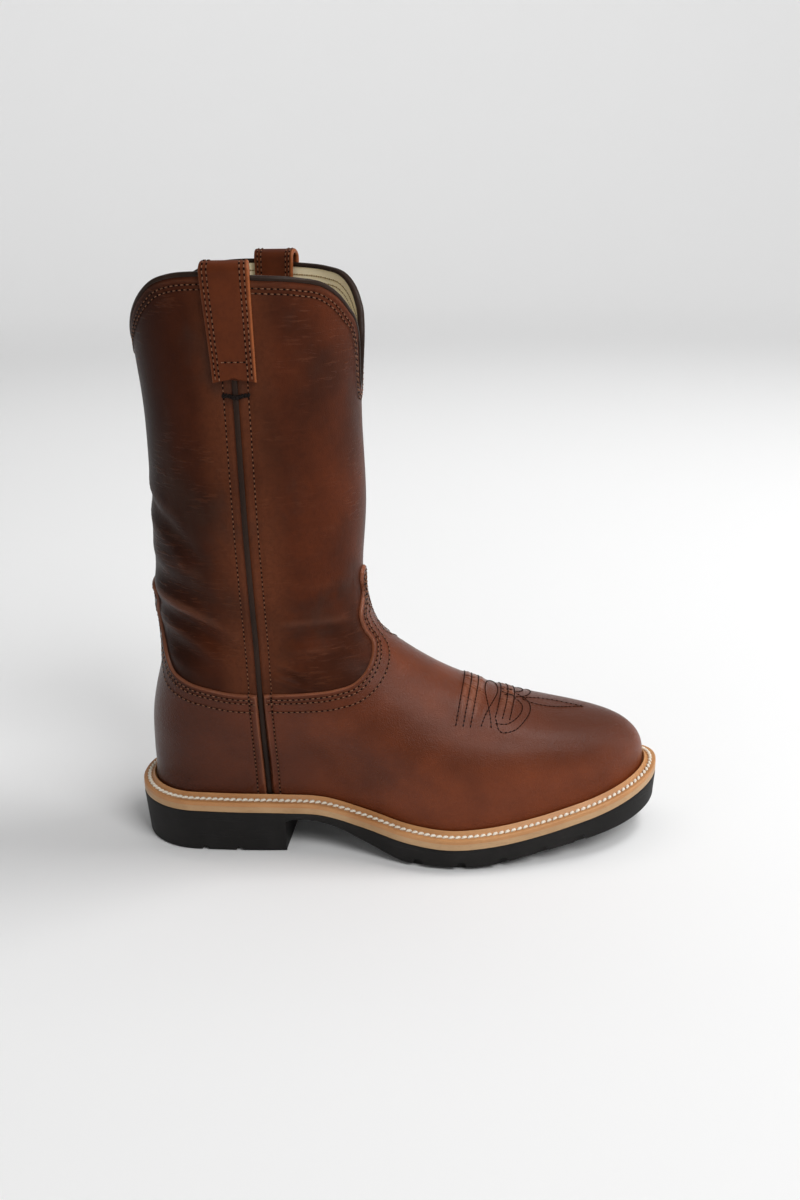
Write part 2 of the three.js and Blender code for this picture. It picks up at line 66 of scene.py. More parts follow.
class Table:
    """Rows of given values with a smooth curve through them."""

    def __init__(self, names: str, rows: Sequence[Sequence[float]]) -> None:
        """Keeps the rows by column.

        Args:
            names: Names of the columns after the first, with spaces between.
            rows: The place of each row, then its values.
        """
        data = np.array(rows, float)
        self.at = data[:, 0]
        self.columns = {name: data[:, k + 1] for k, name in enumerate(names.split())}

    def follow(self, name: str, at: Array) -> Array:
        """Reads a column between its rows.

        Args:
            name: The column.
            at: Places along the table.

        Returns:
            The curve's values there.
        """
        x, y = self.at, self.columns[name]
        t = np.clip(at, x[0], x[-1])
        i = np.clip(np.searchsorted(x, t, side="right") - 1, 0, len(x) - 2)
        step = np.diff(x)
        slope = np.diff(y) / step
        tangent = np.concatenate([slope[:1], slope[:-1], slope[-1:]])
        tangent[1:-1] = (slope[:-1] * step[1:] + slope[1:] * step[:-1]) / (step[1:] + step[:-1])
        tangent[-1] = slope[-1]
        h = step[i]
        u = (t - x[i]) / h
        a = 2 * u**3 - 3 * u**2 + 1
        b = u**3 - 2 * u**2 + u
        c = u**3 - u**2
        return a * y[i] + b * h * tangent[i] + (1 - a) * y[i + 1] + c * h * tangent[i + 1]


@dataclass(frozen=True)
class Sizes:
    """The boot's own sizes in millimetres, as its CAD model has them."""

    sole_length: float = 305.0
    ball_width: float = 111.0
    heel_height: float = 26.0
    midsole_thickness: float = 3.4
    welt_thickness: float = 2.2
    welt_reach: float = 7.4
    storm_bead: float = 2.6
    stitch_inset: float = 3.4
    heel_undercut: float = 1.8
    heel_breast: float = 92.0
    lug_depth: float = 3.2
    lug_gap: float = 6.0
    instep_height: float = 100.0
    shaft_height: float = 194.0
    shaft_depth: float = 120.0
    shaft_width: float = 109.0
    wall: float = 2.6
    overlay: float = 1.7
    piping_width: float = 2.8
    piping_height: float = 2.3
    seam_from_heel: float = 82.0
    strap_width: float = 24.0
    strap_thickness: float = 2.3
    strap_rise: float = 4.0
    strap_leg: float = 55.5
    binding_thickness: float = 0.8
    clearance: float = 0.3

    @property
    def half(self) -> float:
        """Half the sole's length."""
        return self.sole_length / 2

    @property
    def seam(self) -> float:
        """Place of the side seam along the foot."""
        return self.seam_from_heel - self.half

    @property
    def seam_gap(self) -> float:
        """From the side seam's middle to a panel's edge."""
        return self.piping_width / 2 + self.clearance

    @property
    def feather_inset(self) -> float:
        """From the welt's edge to the upper."""
        return self.welt_reach + self.overlay + 2 * self.clearance


SIZES = Sizes()

SOLE_STATIONS = Table(
    "outer inner top",
    [
        (0.0, 0.383, 0.324, 1.03),
        (0.113, 0.389, 0.338, 1.003),
        (0.212, 0.387, 0.336, 0.99),
        (0.297, 0.371, 0.306, 0.97),
        (0.369, 0.35, 0.266, 0.904),
        (0.451, 0.395, 0.275, 0.745),
        (0.533, 0.468, 0.356, 0.588),
        (0.615, 0.5, 0.446, 0.525),
        (0.69, 0.474, 0.486, 0.578),
        (0.779, 0.402, 0.477, 0.725),
        (0.867, 0.306, 0.457, 0.925),
        (0.943, 0.235, 0.463, 1.128),
        (1.0, 0.19, 0.468, 1.313),
    ],
)
TREAD_STATIONS = Table(
    "rise",
    [
        (0.28, 0.715),
        (0.345, 0.705),
        (0.405, 0.54),
        (0.441, 0.37),
        (0.479, 0.19),
        (0.516, 0.04),
        (0.53, 0.0),
        (0.664, 0.0),
        (0.7, 0.05),
        (0.762, 0.19),
        (0.821, 0.3),
        (0.893, 0.42),
        (0.95, 0.52),
        (1.02, 0.7),
    ],
)
FOREFOOT_GROOVES = (0.553, 0.635, 0.712, 0.784, 0.853)
HEEL_GROOVES = (0.145, 0.211)

FOOT_SECTIONS = [
    # back, back rise, front, front rise, outer, inner, reach, oval, wave
    (-0.464, 0.0, 0.4655, 0.06, 0.43, 0.42, 0.2, 0.0, 1.0),
    (-0.4665, 0.09, 0.4665, 0.139, 0.43, 0.42, 0.2, 0.03, 0.84),
    (-0.467, 0.17, 0.459, 0.211, 0.425, 0.415, 0.21, 0.08, 0.66),
    (-0.4665, 0.245, 0.444, 0.278, 0.405, 0.4, 0.23, 0.17, 0.48),
    (-0.465, 0.305, 0.417, 0.328, 0.39, 0.385, 0.25, 0.31, 0.32),
    (-0.4643, 0.36, 0.374, 0.356, 0.378, 0.374, 0.27, 0.5, 0.19),
    (-0.463, 0.42, 0.308, 0.388, 0.362, 0.358, 0.29, 0.7, 0.09),
    (-0.46, 0.485, 0.233, 0.445, 0.354, 0.35, 0.295, 0.87, 0.02),
    (-0.4554, 0.555, 0.1615, 0.524, 0.354, 0.35, 0.29, 0.97, 0.0),
    (-0.4482, 0.635, 0.097, 0.625, 0.36, 0.356, 0.275, 1.0, 0.0),
    (-0.44, 0.725, 0.031, 0.747, 0.368, 0.364, 0.25, 1.0, 0.0),
    (-0.4354, 0.83, -0.029, 0.887, 0.379, 0.379, 0.217, 1.0, 0.0),
]
SHAFT_SECTIONS = [
    # back, back rise, depth, front rise, width
    (-0.4384, -0.01, 0.978, 0.037, 0.807),
    (-0.4433, 0.098, 0.982, 0.149, 0.863),
    (-0.4384, 0.325, 0.993, 0.345, 0.936),
    (-0.4354, 0.603, 0.977, 0.603, 0.972),
    (-0.4452, 0.809, 1.02, 0.809, 0.991),
    (-0.4545, 1.046, 1.059, 1.046, 1.009),
]
COLLAR_STATIONS = Table(
    "rise",
    [
        (0.0, 0.668),
        (0.015, 0.681),
        (0.03, 0.733),
        (0.045, 0.793),
        (0.07, 0.843),
        (0.12, 0.888),
        (0.18, 0.932),
        (0.225, 0.954),
        (0.3, 0.969),
        (0.42, 0.979),
        (0.56, 0.99),
        (0.64, 0.984),
        (0.7, 0.968),
        (0.76, 0.935),
        (0.82, 0.893),
        (0.87, 0.855),
        (0.93, 0.812),
        (1.0, 0.79),
    ],
)
VAMP_EDGE = [
    # forward of the seam, rise, shares of the instep's height
    (0.0, 0.663),
    (0.23, 0.671),
    (0.4, 0.687),
    (0.495, 0.712),
    (0.55, 0.758),
    (0.578, 0.82),
    (0.575, 0.87),
    (0.535, 0.94),
    (0.508, 1.02),
    (0.512, 1.14),
    (0.508, 1.23),
    (0.515, 1.29),
    (0.53, 1.32),
    (0.55, 1.34),
    (0.62, 1.345),
]
COUNTER_EDGE = [
    # behind the seam, rise
    (0.0, 0.658),
    (0.16, 0.665),
    (0.28, 0.69),
    (0.4, 0.717),
    (0.485, 0.757),
    (0.53, 0.838),
    (0.572, 0.924),
    (0.598, 1.03),
    (0.595, 1.14),
    (0.61, 1.215),
    (0.66, 1.235),
]


def rounded(distance: Array, reach: Array | float) -> Array:
    """Rounds a body's end off over a reach: 0 at the end, 1 from the reach inwards."""
    t = np.clip(distance / reach, 0, 1)
    power = 2.1
    return (1 - (1 - t) ** power) ** (1 / power)


def smooth(low: float, high: float, value: Array) -> Array:
    """Smooth step from 0 at low to 1 at high."""
    t = np.clip((value - low) / (high - low), 0, 1)
    return t * t * (3 - 2 * t)


def unit(vectors: Array) -> Array:
    """Vectors brought to length 1."""
    return vectors / np.maximum(np.linalg.norm(vectors, axis=-1, keepdims=True), 1e-9)


def resample(points: Array, values: Array, count: int) -> Array:
    """Spreads values evenly along a line.

    Args:
        points: The line's places, n by 3.
        values: What belongs to each place, n by any.
        count: How many places to return.

    Returns:
        The values at places an even length apart.
    """
    run = np.concatenate([[0], np.cumsum(np.linalg.norm(np.diff(points, axis=0), axis=1))])
    at = np.linspace(0, run[-1], count)
    return np.column_stack([np.interp(at, run, column) for column in values.T])


def curve_through(knots: Sequence[Sequence[float]], count: int) -> Array:
    """Smooth curve through a few points.

    Args:
        knots: The points, each of the same number of values.
        count: How many points to return.

    Returns:
        Points along the curve, evenly spread by the knots' own distances.
    """
    data = np.array(knots, float)
    if len(data) == 2:
        return np.linspace(data[0], data[1], count)
    run = np.concatenate([[0], np.cumsum(np.linalg.norm(np.diff(data, axis=0), axis=1))])
    names = " ".join(f"c{k}" for k in range(data.shape[1]))
    table = Table(names, np.column_stack([run, data]))
    at = np.linspace(0, run[-1], count)
    return np.column_stack([table.follow(name, at) for name in names.split()])


class SoleForm:
    """Plan and heights of the sole, in millimetres."""

    STEP = 1 / 60
    TOE_BEND = 2.2

    def __init__(self, sizes: Sizes) -> None:
        """Keeps the boot's sizes."""
        self.sizes = sizes

    def centre(self, x: Array) -> Array:
        """The foot's centre line, which bends inwards towards the toe."""
        s = self.sizes
        heel, toe = -0.027 * s.ball_width, 0.162 * s.ball_width
        bend = np.clip((x + s.half) / s.sole_length, 0, 1) ** self.TOE_BEND
        return heel + (toe - heel) * bend

    def rubber_top(self, x: Array) -> Array:
        """Height of the rubber's upper face."""
        s = self.sizes
        return s.heel_height * SOLE_STATIONS.follow("top", (x + s.half) / s.sole_length)

    def midsole_top(self, x: Array) -> Array:
        """Height of the midsole's upper face."""
        return self.rubber_top(x) + self.sizes.clearance + self.sizes.midsole_thickness

    def welt_top(self, x: Array) -> Array:
        """Height of the welt's shelf."""
        return self.midsole_top(x) + self.sizes.clearance + self.sizes.welt_thickness

    def seat(self, x: Array) -> Array:
        """Height at which the upper stands."""
        return self.welt_top(x) + self.sizes.clearance

    def tread(self, x: Array) -> Array:
        """Height of the tread's underside in front of the heel."""
        s = self.sizes
        return s.heel_height * np.maximum(
            TREAD_STATIONS.follow("rise", (x + s.half) / s.sole_length), 0
        )

    def edge(self, turn: Array) -> Array:
        """Points of the sole's edge, n by 2, at turns from the toe by the outer side."""
        s = self.sizes
        along = (1 + np.cos(2 * np.pi * turn)) / 2
        side = np.where(np.mod(turn, 1) < 0.5, -1.0, 1.0)
        x = -s.half + along * s.sole_length
        ends = rounded(x + s.half, 0.131 * s.sole_length) * rounded(
            s.half - x, 0.151 * s.sole_length
        )
        outer = SOLE_STATIONS.follow("outer", along)
        inner = SOLE_STATIONS.follow("inner", along)
        half = s.ball_width * np.where(side < 0, outer, inner)
        centre = self.centre(x)
        return np.stack([x, centre + (side * half - centre) * ends], axis=-1)

    def outline(self, turn: Array, inset: Array | float = 0.0) -> Array:
        """The sole's edge moved inwards.

        Args:
            turn: Turns round the sole.
            inset: How far in, in millimetres.

        Returns:
            Points in plan, n by 2.
        """
        run = unit(self.edge(turn + self.STEP) - self.edge(turn - self.STEP))
        across = np.stack([run[..., 1], -run[..., 0]], axis=-1)
        return self.edge(turn) + across * np.asarray(inset)[..., None]


@dataclass(frozen=True)
class Fold:
    """One soft trough or ridge of the leather.

    Attributes:
        line: Places on the upper that the fold runs through, in millimetres.
        depth: How far it goes in, or out where it is negative, in millimetres.
        width: Half its width in millimetres.
        shoulder: Height of the swell beside it, as a share of its depth.
    """

    line: tuple[tuple[float, float, float], ...]
    depth: float
    width: float
    shoulder: float = 0.45

    def relief(self, points: Array) -> Array:
        """How far the fold moves the leather out at each point.

        Args:
            points: Places on the upper, n by 3, in millimetres.

        Returns:
            The outward movement in millimetres.
        """
        line = curve_through(self.line, 14)
        near = np.full(len(points), 1e9)
        along = np.zeros(len(points))
        for k in range(len(line) - 1):
            run = line[k + 1] - line[k]
            t = np.clip((points - line[k]) @ run / (run @ run), 0, 1)
            away = np.linalg.norm(points - (line[k] + t[:, None] * run), axis=1)
            closer = away < near
            near = np.where(closer, away, near)
            along = np.where(closer, (k + t) / (len(line) - 1), along)
        fade = np.sin(np.pi * np.clip(along, 0.0, 1.0)) ** 0.6 * 0.85 + 0.15
        t = near / self.width
        trough = np.exp(-(t**2))
        swell = np.exp(-(((t - 1.9) / 0.85) ** 2))
        return self.depth * fade * (self.shoulder * swell - trough)


class UpperForm:
    """Outside of the upper as a surface of section number and turn, in millimetres."""

    NAMES = "back front back_z front_z outer inner front_reach back_reach oval wave lean"
    LEVEL_CELLS = 420
    TURN_CELLS = 1440

    def __init__(self, sizes: Sizes, sole: SoleForm) -> None:
        """Works the section tables out in millimetres.

        Args:
            sizes: The boot's sizes.
            sole: The sole that the upper stands on.
        """
        self.sizes = sizes
        self.sole = sole
        s = sizes
        self.ankle = float(sole.welt_top(np.array(-s.half))) + s.instep_height
        rows = []
        for back, back_rise, front, front_rise, outer, inner, reach, oval, wave in FOOT_SECTIONS:
            rows.append(
                (
                    back * s.sole_length,
                    front * s.sole_length,
                    self.ankle + (back_rise - 1) * s.instep_height,
                    self.ankle + (front_rise - 1) * s.instep_height,
                    outer * s.ball_width,
                    inner * s.ball_width,
                    reach * s.sole_length,
                    0.131 * s.sole_length,
                    oval,
                    wave,
                    back_rise,
                )
            )
        for back, back_rise, depth, front_rise, width in SHAFT_SECTIONS:
            rows.append(
                (
                    back * s.sole_length,
                    back * s.sole_length + depth * s.shaft_depth,
                    self.ankle + back_rise * s.shaft_height,
                    self.ankle + front_rise * s.shaft_height,
                    width * s.shaft_width / 2,
                    width * s.shaft_width / 2,
                    depth * s.shaft_depth / 2,
                    depth * s.shaft_depth / 2,
                    1.0,
                    0.0,
                    1.0,
                )
            )
        self.table = Table(self.NAMES, [(k, *row) for k, row in enumerate(rows)])
        self.first_shaft = len(FOOT_SECTIONS)
        self.top = len(rows) - 1
        self.folds: list[Fold] = []
        ends = sole.outline(np.array([0.0, 0.5]), s.feather_inset)
        self.toe_seat, self.heel_seat = sole.seat(ends[:, 0])
        self._search: tuple[Array, Array, Array] | None = None
        self.grid = self._softened()

    def _softened(self) -> Array:
        """The sections' surface on a fine grid, softened where the sections bend sharply."""
        level = 1 + np.arange(self.LEVEL_CELLS + 1) / self.LEVEL_CELLS * (self.top - 1)
        turn = np.arange(self.TURN_CELLS + 1) / self.TURN_CELLS
        grid = self._section(*np.meshgrid(level, turn, indexing="ij"))
        bent = smooth(1.0, 2.8, level) * (1 - smooth(8.0, 10.5, level))

        def averaged(reach: float) -> Array:
            """The surface with each level averaged with its neighbours."""
            spread = 0.01 + reach * bent
            weight = np.exp(-(((level[None] - level[:, None]) / spread[:, None]) ** 2) / 2)
            weight /= weight.sum(axis=1, keepdims=True)
            return np.einsum("kl,ltc->ktc", weight, grid, optimize=True)

        beside = np.abs(np.sin(2 * np.pi * turn))[None, :, None]
        return averaged(0.75) * (1 - beside) + averaged(1.2) * beside

    def _above(self, level: Array, turn: Array) -> Array:
        """Points of the softened sections' surface, from the first section up."""
        a = np.clip((level - 1) / (self.top - 1), 0, 1) * self.LEVEL_CELLS
        b = np.mod(turn, 1) * self.TURN_CELLS
        i = np.minimum(a.astype(int), self.LEVEL_CELLS - 1)
        j = np.minimum(b.astype(int), self.TURN_CELLS - 1)
        u, v = (a - i)[..., None], (b - j)[..., None]
        low = self.grid[i, j] * (1 - v) + self.grid[i, j + 1] * v
        high = self.grid[i + 1, j] * (1 - v) + self.grid[i + 1, j + 1] * v
        return low * (1 - u) + high * u

    def _section(self, level: Array, turn: Array) -> Array:
        """Points of the sections' own surface, from the first section up."""
        row = self.table.follow
        along = (1 + np.cos(2 * np.pi * turn)) / 2
        side = np.where(np.mod(turn, 1) < 0.5, -1.0, 1.0)
        back, front = row("back", level), row("front", level)
        x = back + (front - back) * along
        feather = self.sole.outline(turn, self.sizes.feather_inset)
        ends = rounded(x - back, row("back_reach", level)) * rounded(
            front - x, row("front_reach", level)
        )
        lean = (1 - np.minimum(row("lean", level), 1)) * self.sole.centre(x)
        half = np.where(side < 0, row("outer", level), row("inner", level))
        oval = np.clip(row("oval", level), 0, 1)
        y = feather[..., 1] + (lean + side * half * ends - feather[..., 1]) * oval
        dip = self.sole.seat(feather[..., 0]) - (
            self.heel_seat + (self.toe_seat - self.heel_seat) * along
        )
        back_z, front_z = row("back_z", level), row("front_z", level)
        z = back_z + (front_z - back_z) * along + np.maximum(row("wave", level), 0) * dip
        return np.stack([x, y, z], axis=-1)

    def _foot(self, turn: Array, distance: Array | float) -> Array:
        """Points of the upper's lower rim on the welt, moved out by a distance."""
        inset = self.sizes.feather_inset - np.asarray(distance) * np.ones_like(turn)
        plan = self.sole.outline(turn, inset)
        return np.concatenate([plan, self.sole.seat(plan[..., :1])], axis=-1)

    def point(self, level: Array, turn: Array) -> Array:
        """Points of the smooth outside, n by 3.

        Args:
            level: Section numbers, 0 at the welt.
            turn: Turns from the front by the outer side.

        Returns:
            The points, without folds.
        """
        level, turn = np.broadcast_arrays(np.asarray(level, float), np.asarray(turn, float))
        above = self._above(np.maximum(level, 1), turn)
        share = np.clip(level, 0, 1)[..., None]
        return above * share + self._foot(turn, 0.0) * (1 - share)

    def outward(self, level: Array, turn: Array) -> Array:
        """Unit vectors straight out of the smooth outside."""
        level, turn = np.broadcast_arrays(np.asarray(level, float), np.asarray(turn, float))
        high = np.maximum(level, 1)
        step = 0.5
        turn_step = step * self.sole.STEP
        around = self._above(high, turn + turn_step) - self._above(high, turn - turn_step)
        up = self._above(np.minimum(high + step, self.top), turn)
        up = up - self._above(np.minimum(high, self.top - step) - step, turn)
        return unit(np.cross(up, around))

    def relief(self, points: Array) -> Array:
        """Outward movement of the leather at points, from its folds and its side seams."""
        flat = points.reshape(-1, 3)
        total = self.seam_relief(flat)
        for fold in self.folds:
            total = total + fold.relief(flat)
        return total.reshape(points.shape[:-1])

    def seam_relief(self, points: Array) -> Array:
        """Rolled leather on each side of the side seams, drawn in at its stitches."""
        away = np.abs(points[:, 0] - self.sizes.seam)
        roll = 0.55 * np.exp(-(((away - 3.5) / 1.7) ** 2))
        draw = -0.3 * np.exp(-(((away - 6.3) / 0.9) ** 2))
        swell = 0.25 * np.exp(-(((away - 9.5) / 2.2) ** 2))
        return roll + draw + swell

    def skin(self, level: Array, turn: Array, distance: Array | float = 0.0) -> Array:
        """Points at a distance from the folded leather's outside.

        Args:
            level: Section numbers.
            turn: Turns from the front by the outer side.
            distance: How far out, in millimetres.

        Returns:
            The points, n by 3.
        """
        level, turn = np.broadcast_arrays(np.asarray(level, float), np.asarray(turn, float))
        high = np.maximum(level, 1)
        base = self._above(high, turn)
        reach = np.asarray(distance) + self.relief(base)
        above = base + self.outward(high, turn) * reach[..., None]
        share = np.clip(level, 0, 1)[..., None]
        if np.all(share >= 1):
            return above
        return above * share + self._foot(turn, distance) * (1 - share)

    def level_at(self, z: Array, turn: Array) -> Array:
        """Section numbers at which turns of the upper reach heights."""
        low = np.ones_like(np.asarray(turn, float))
        high = np.full_like(low, self.top)
        for _ in range(26):
            middle = (low + high) / 2
            below = self._above(middle, turn)[..., 2] < z
            low = np.where(below, middle, low)
            high = np.where(below, high, middle)
        return (low + high) / 2

    def turn_at(self, level: Array, x: Array, side: Side) -> Array:
        """Turns at which sections pass a place along the foot, on one side."""
        back = self.table.follow("back", level)
        front = self.table.follow("front", level)
        along = np.clip((x - back) / (front - back), 0, 1)
        turn = np.arccos(2 * along - 1) / (2 * np.pi)
        return turn if side is Side.OUTER else 1 - turn

    def turn_on(self, level: Array, x: Array, side: Side) -> Array:
        """Turns at which the outside itself, its lower rim too, passes a place along the foot."""
        aim = np.array(x, float)
        turn = self.turn_at(level, aim, side)
        for _ in range(14):
            aim = aim + (x - self.point(level, turn)[..., 0])
            turn = self.turn_at(np.maximum(level, 0), aim, side)
        return turn

    def locate(self, x: Array, z: Array, side: Side) -> tuple[Array, Array]:
        """Finds the places of one side that have an x and a height.

        Args:
            x: Places along the foot.
            z: Heights.
            side: The side of the boot.

        Returns:
            Section numbers and turns.
        """
        turn = np.full(np.shape(x), 0.25 if side is Side.OUTER else 0.75)
        level = self.level_at(z, turn)
        for _ in range(9):
            turn = self.turn_at(level, x, side)
            level = self.level_at(z, turn)
        return level, turn

    def find(self, points: Array) -> tuple[Array, Array]:
        """Finds the places of the outside that lie nearest to points.

        Args:
            points: Points near the upper, n by 3.

        Returns:
            Section numbers and turns, the turns run on without a jump.
        """
        if self._search is None:
            level, turn = np.meshgrid(
                np.arange(0, self.top, 0.12), np.arange(0, 1, 1 / 420), indexing="ij"
            )
            self._search = level.ravel(), turn.ravel(), self.point(level.ravel(), turn.ravel())
        levels, turns, cloud = self._search
        nearest = [int(np.argmin(((cloud - p) ** 2).sum(axis=1))) for p in points]
        level, turn = levels[nearest].copy(), turns[nearest].copy()
        small, slight = 0.02, 0.0008
        for _ in range(5):
            here = self.point(level, turn)
            a = (self.point(level + small, turn) - here) / small
            b = (self.point(level, turn + slight) - here) / slight
            miss = points - here
            aa, ab, bb = (a * a).sum(1), (a * b).sum(1), (b * b).sum(1)
            am, bm = (a * miss).sum(1), (b * miss).sum(1)
            scale = np.maximum(aa * bb - ab**2, 1e-6)
            level = np.clip(level + (bb * am - ab * bm) / scale, 0, self.top)
            turn = turn + (aa * bm - ab * am) / scale
        return level, np.unwrap(turn, period=1.0)

    def collar_level(self, turn: Array) -> Array:
        """Section numbers of the collar's edge."""
        share = 1 - np.abs(1 - 2 * np.mod(turn, 1))
        s = self.sizes
        return self.level_at(
            self.ankle + s.shaft_height * COLLAR_STATIONS.follow("rise", share), turn
        )


# Meshes ---------------------------------------------------------------------------------


def deselect() -> None:
    """Leaves nothing selected."""
    bpy.ops.object.select_all(action="DESELECT")


def laid_grid(
    name: str,
    columns: Array,
    rows: Array,
    lay: Callable[[Array, Array], Array],
    paint: dict[str, Callable[[Array, Array], Array]] | None = None,
    closed: bool = True,
) -> bpy.types.Object:
    """Adds a grid, lays its crossings on a form, joins its seams and closes its ends.

    Args:
        name: The piece's name.
        columns: Place of each column of crossings.
        rows: Place of each row of crossings.
        lay: Gives the points, in millimetres, of columns' and rows' places.
        paint: Attributes to write, each from the columns' and rows' places.
        closed: Whether open ends are filled.

    Returns:
        The piece.
    """
    deselect()
    bpy.ops.mesh.primitive_grid_add(
        x_subdivisions=len(columns) - 1, y_subdivisions=len(rows) - 1, size=2
    )
    piece = bpy.context.object
    piece.name = piece.data.name = name
    mesh = piece.data
    flat = np.empty(len(mesh.vertices) * 3)
    mesh.vertices.foreach_get("co", flat)
    flat = flat.reshape(-1, 3)
    u = columns[np.rint((flat[:, 0] + 1) / 2 * (len(columns) - 1)).astype(int)]
    v = rows[np.rint((flat[:, 1] + 1) / 2 * (len(rows) - 1)).astype(int)]
    mesh.vertices.foreach_set("co", (lay(u, v) * MM).astype(np.float32).ravel())
    for label, tone in (paint or {}).items():
        attribute = mesh.attributes.new(label, "FLOAT", "POINT")
        attribute.data.foreach_set("value", tone(u, v).astype(np.float32))
    bpy.ops.object.mode_set(mode="EDIT")
    bpy.ops.mesh.select_all(action="SELECT")
    bpy.ops.mesh.remove_doubles(threshold=2e-6)
    bpy.ops.mesh.select_all(action="SELECT")
    if closed:
        bpy.ops.mesh.fill_holes(sides=0)
    bpy.ops.mesh.select_all(action="SELECT")
    bpy.ops.mesh.normals_make_consistent(inside=False)
    bpy.ops.object.mode_set(mode="OBJECT")
    mesh.update()
    return piece


def smoothed(piece: bpy.types.Object, degrees: float = 42.0) -> bpy.types.Object:
    """Shades a piece smooth, apart from edges sharper than an angle."""
    deselect()
    piece.select_set(True)
    bpy.context.view_layer.objects.active = piece
    bpy.ops.object.shade_smooth_by_angle(angle=math.radians(degrees))
    return piece


def turns(count: int) -> Array:
    """Places of a whole round of columns, the first one again at the end."""
    return np.linspace(0, 1, count + 1)


def inner_ring(outer: Array, count: int) -> Array:
    """Rows of a wall that runs up outside, over its rim and down inside.

    Args:
        outer: Shares of the way up outside, from 0 to 1.
        count: How many rows the inside has.

    Returns:
        The outside's shares, then from 1 to 2 for the way down inside, then 3, the start again.
    """
    return np.concatenate([outer, 2 - np.linspace(1, 0, count + 1)[:-1] + 1e-9, [3.0]])


@dataclass(frozen=True)
class StitchKind:
    """One kind of stitch, in millimetres."""

    pitch: float = 3.1
    length: float = 1.9
    width: float = 0.6
    height: float = 0.5
    arch: float = 0.22
    slant: float = 0.0
    # Size of the dark disc painted as the shade of each needle hole; 0 for none.
    hole: float = 0.47


class StitchRun:
    """Gathers stitches into one mesh, each a copy of a small stitch modelled once."""

    def __init__(self, name: str, kind: StitchKind) -> None:
        """Keeps the name and the kind of stitch.

        Args:
            name: The piece's name.
            kind: Sizes of its stitches.
        """
        self.name = name
        self.kind = kind
        self.places: list[tuple[Array, Array, Array]] = []

    def along(self, points: Array, normals: Array, shift: float = 0.0) -> "StitchRun":
        """Sews along a line.

        Args:
            points: The line, n by 3, in millimetres.
            normals: Straight out of the leather at each point.
            shift: Where in a pitch the first stitch begins, from 0 to 1.

        Returns:
            This run.
        """
        run = np.concatenate([[0], np.cumsum(np.linalg.norm(np.diff(points, axis=0), axis=1))])
        if run[-1] < self.kind.pitch:
            return self
        count = max(int(run[-1] / self.kind.pitch), 1)
        pitch = run[-1] / count
        at = (np.arange(count) + 0.5 * (1 - shift)) * pitch

        def read(values: Array, where: Array) -> Array:
            """Values at lengths along the line."""
            return np.column_stack([np.interp(where, run, c) for c in values.T])

        middle = read(points, at)
        ahead = unit(read(points, at + pitch * 0.4) - read(points, at - pitch * 0.4))
        out = unit(read(normals, at))
        ahead = unit(ahead - out * (ahead * out).sum(1, keepdims=True))
        self.places.append((middle, ahead, out))
        return self

    def build(self) -> bpy.types.Object:
        """Makes the run's mesh.

        Returns:
            The piece with all the stitches.
        """
        kind = self.kind
        deselect()
        bpy.ops.mesh.primitive_uv_sphere_add(segments=6, ring_count=5, radius=1)
        pattern = bpy.context.object
        bpy.ops.object.mode_set(mode="EDIT")
        bpy.ops.mesh.select_all(action="SELECT")
        bpy.ops.transform.rotate(
            value=math.pi / 2, orient_axis="Y", center_override=(0.0, 0.0, 0.0)
        )
        bpy.ops.object.mode_set(mode="OBJECT")
        shape = np.array([v.co for v in pattern.data.vertices])
        faces = np.array([[*p.vertices, p.vertices[-1]][:4] for p in pattern.data.polygons])
        bpy.data.objects.remove(pattern)
        middle = np.concatenate([p[0] for p in self.places])
        ahead = np.concatenate([p[1] for p in self.places])
        out = np.concatenate([p[2] for p in self.places])
        across = np.cross(out, ahead)
        along = np.sign(shape[:, 0]) * np.abs(shape[:, 0]) ** 0.8
        thread = np.column_stack(
            [
                along * kind.length / 2,
                shape[:, 1] * kind.width / 2 + along * kind.slant,
                shape[:, 2] * kind.height / 2 + kind.arch * (0.5 - along**2),
            ]
        )
        # Flat dark disc between stitches: painted shade of a needle hole.
        hole = np.column_stack(
            [
                shape[:, 0] * kind.hole * 1.35 + kind.pitch / 2,
                shape[:, 1] * kind.hole,
                shape[:, 2] * 0.2,
            ]
        )
        both = [thread] if kind.hole <= 0 else [thread, hole]
        frame_of = np.stack([ahead, across, out], axis=1)
        points = np.concatenate(
            [middle[:, None] + np.einsum("vk,nkc->nvc", form, frame_of) for form in both]
        ).reshape(-1, 3)
        copies = len(middle) * len(both)
        index = (faces[None] + np.arange(copies)[:, None, None] * len(shape)).reshape(-1, 4)
        mesh = bpy.data.meshes.new(self.name)
        mesh.from_pydata(
            (points * MM).tolist(),
            [],
            [tuple(f) if f[2] != f[3] else tuple(f[:3]) for f in index.tolist()],
        )
        mesh.update()
        mesh.polygons.foreach_set(
            "material_index", np.repeat([0, 1][: len(both)], len(middle) * len(faces)).tolist()
        )
        piece = bpy.data.objects.new(self.name, mesh)
        bpy.context.scene.collection.objects.link(piece)
        deselect()
        piece.select_set(True)
        bpy.context.view_layer.objects.active = piece
        bpy.ops.object.mode_set(mode="EDIT")
        bpy.ops.mesh.select_all(action="SELECT")
        bpy.ops.mesh.normals_make_consistent(inside=False)
        bpy.ops.object.mode_set(mode="OBJECT")
        bpy.ops.object.shade_smooth()
        return piece


# Shaders --------------------------------------------------------------------------------


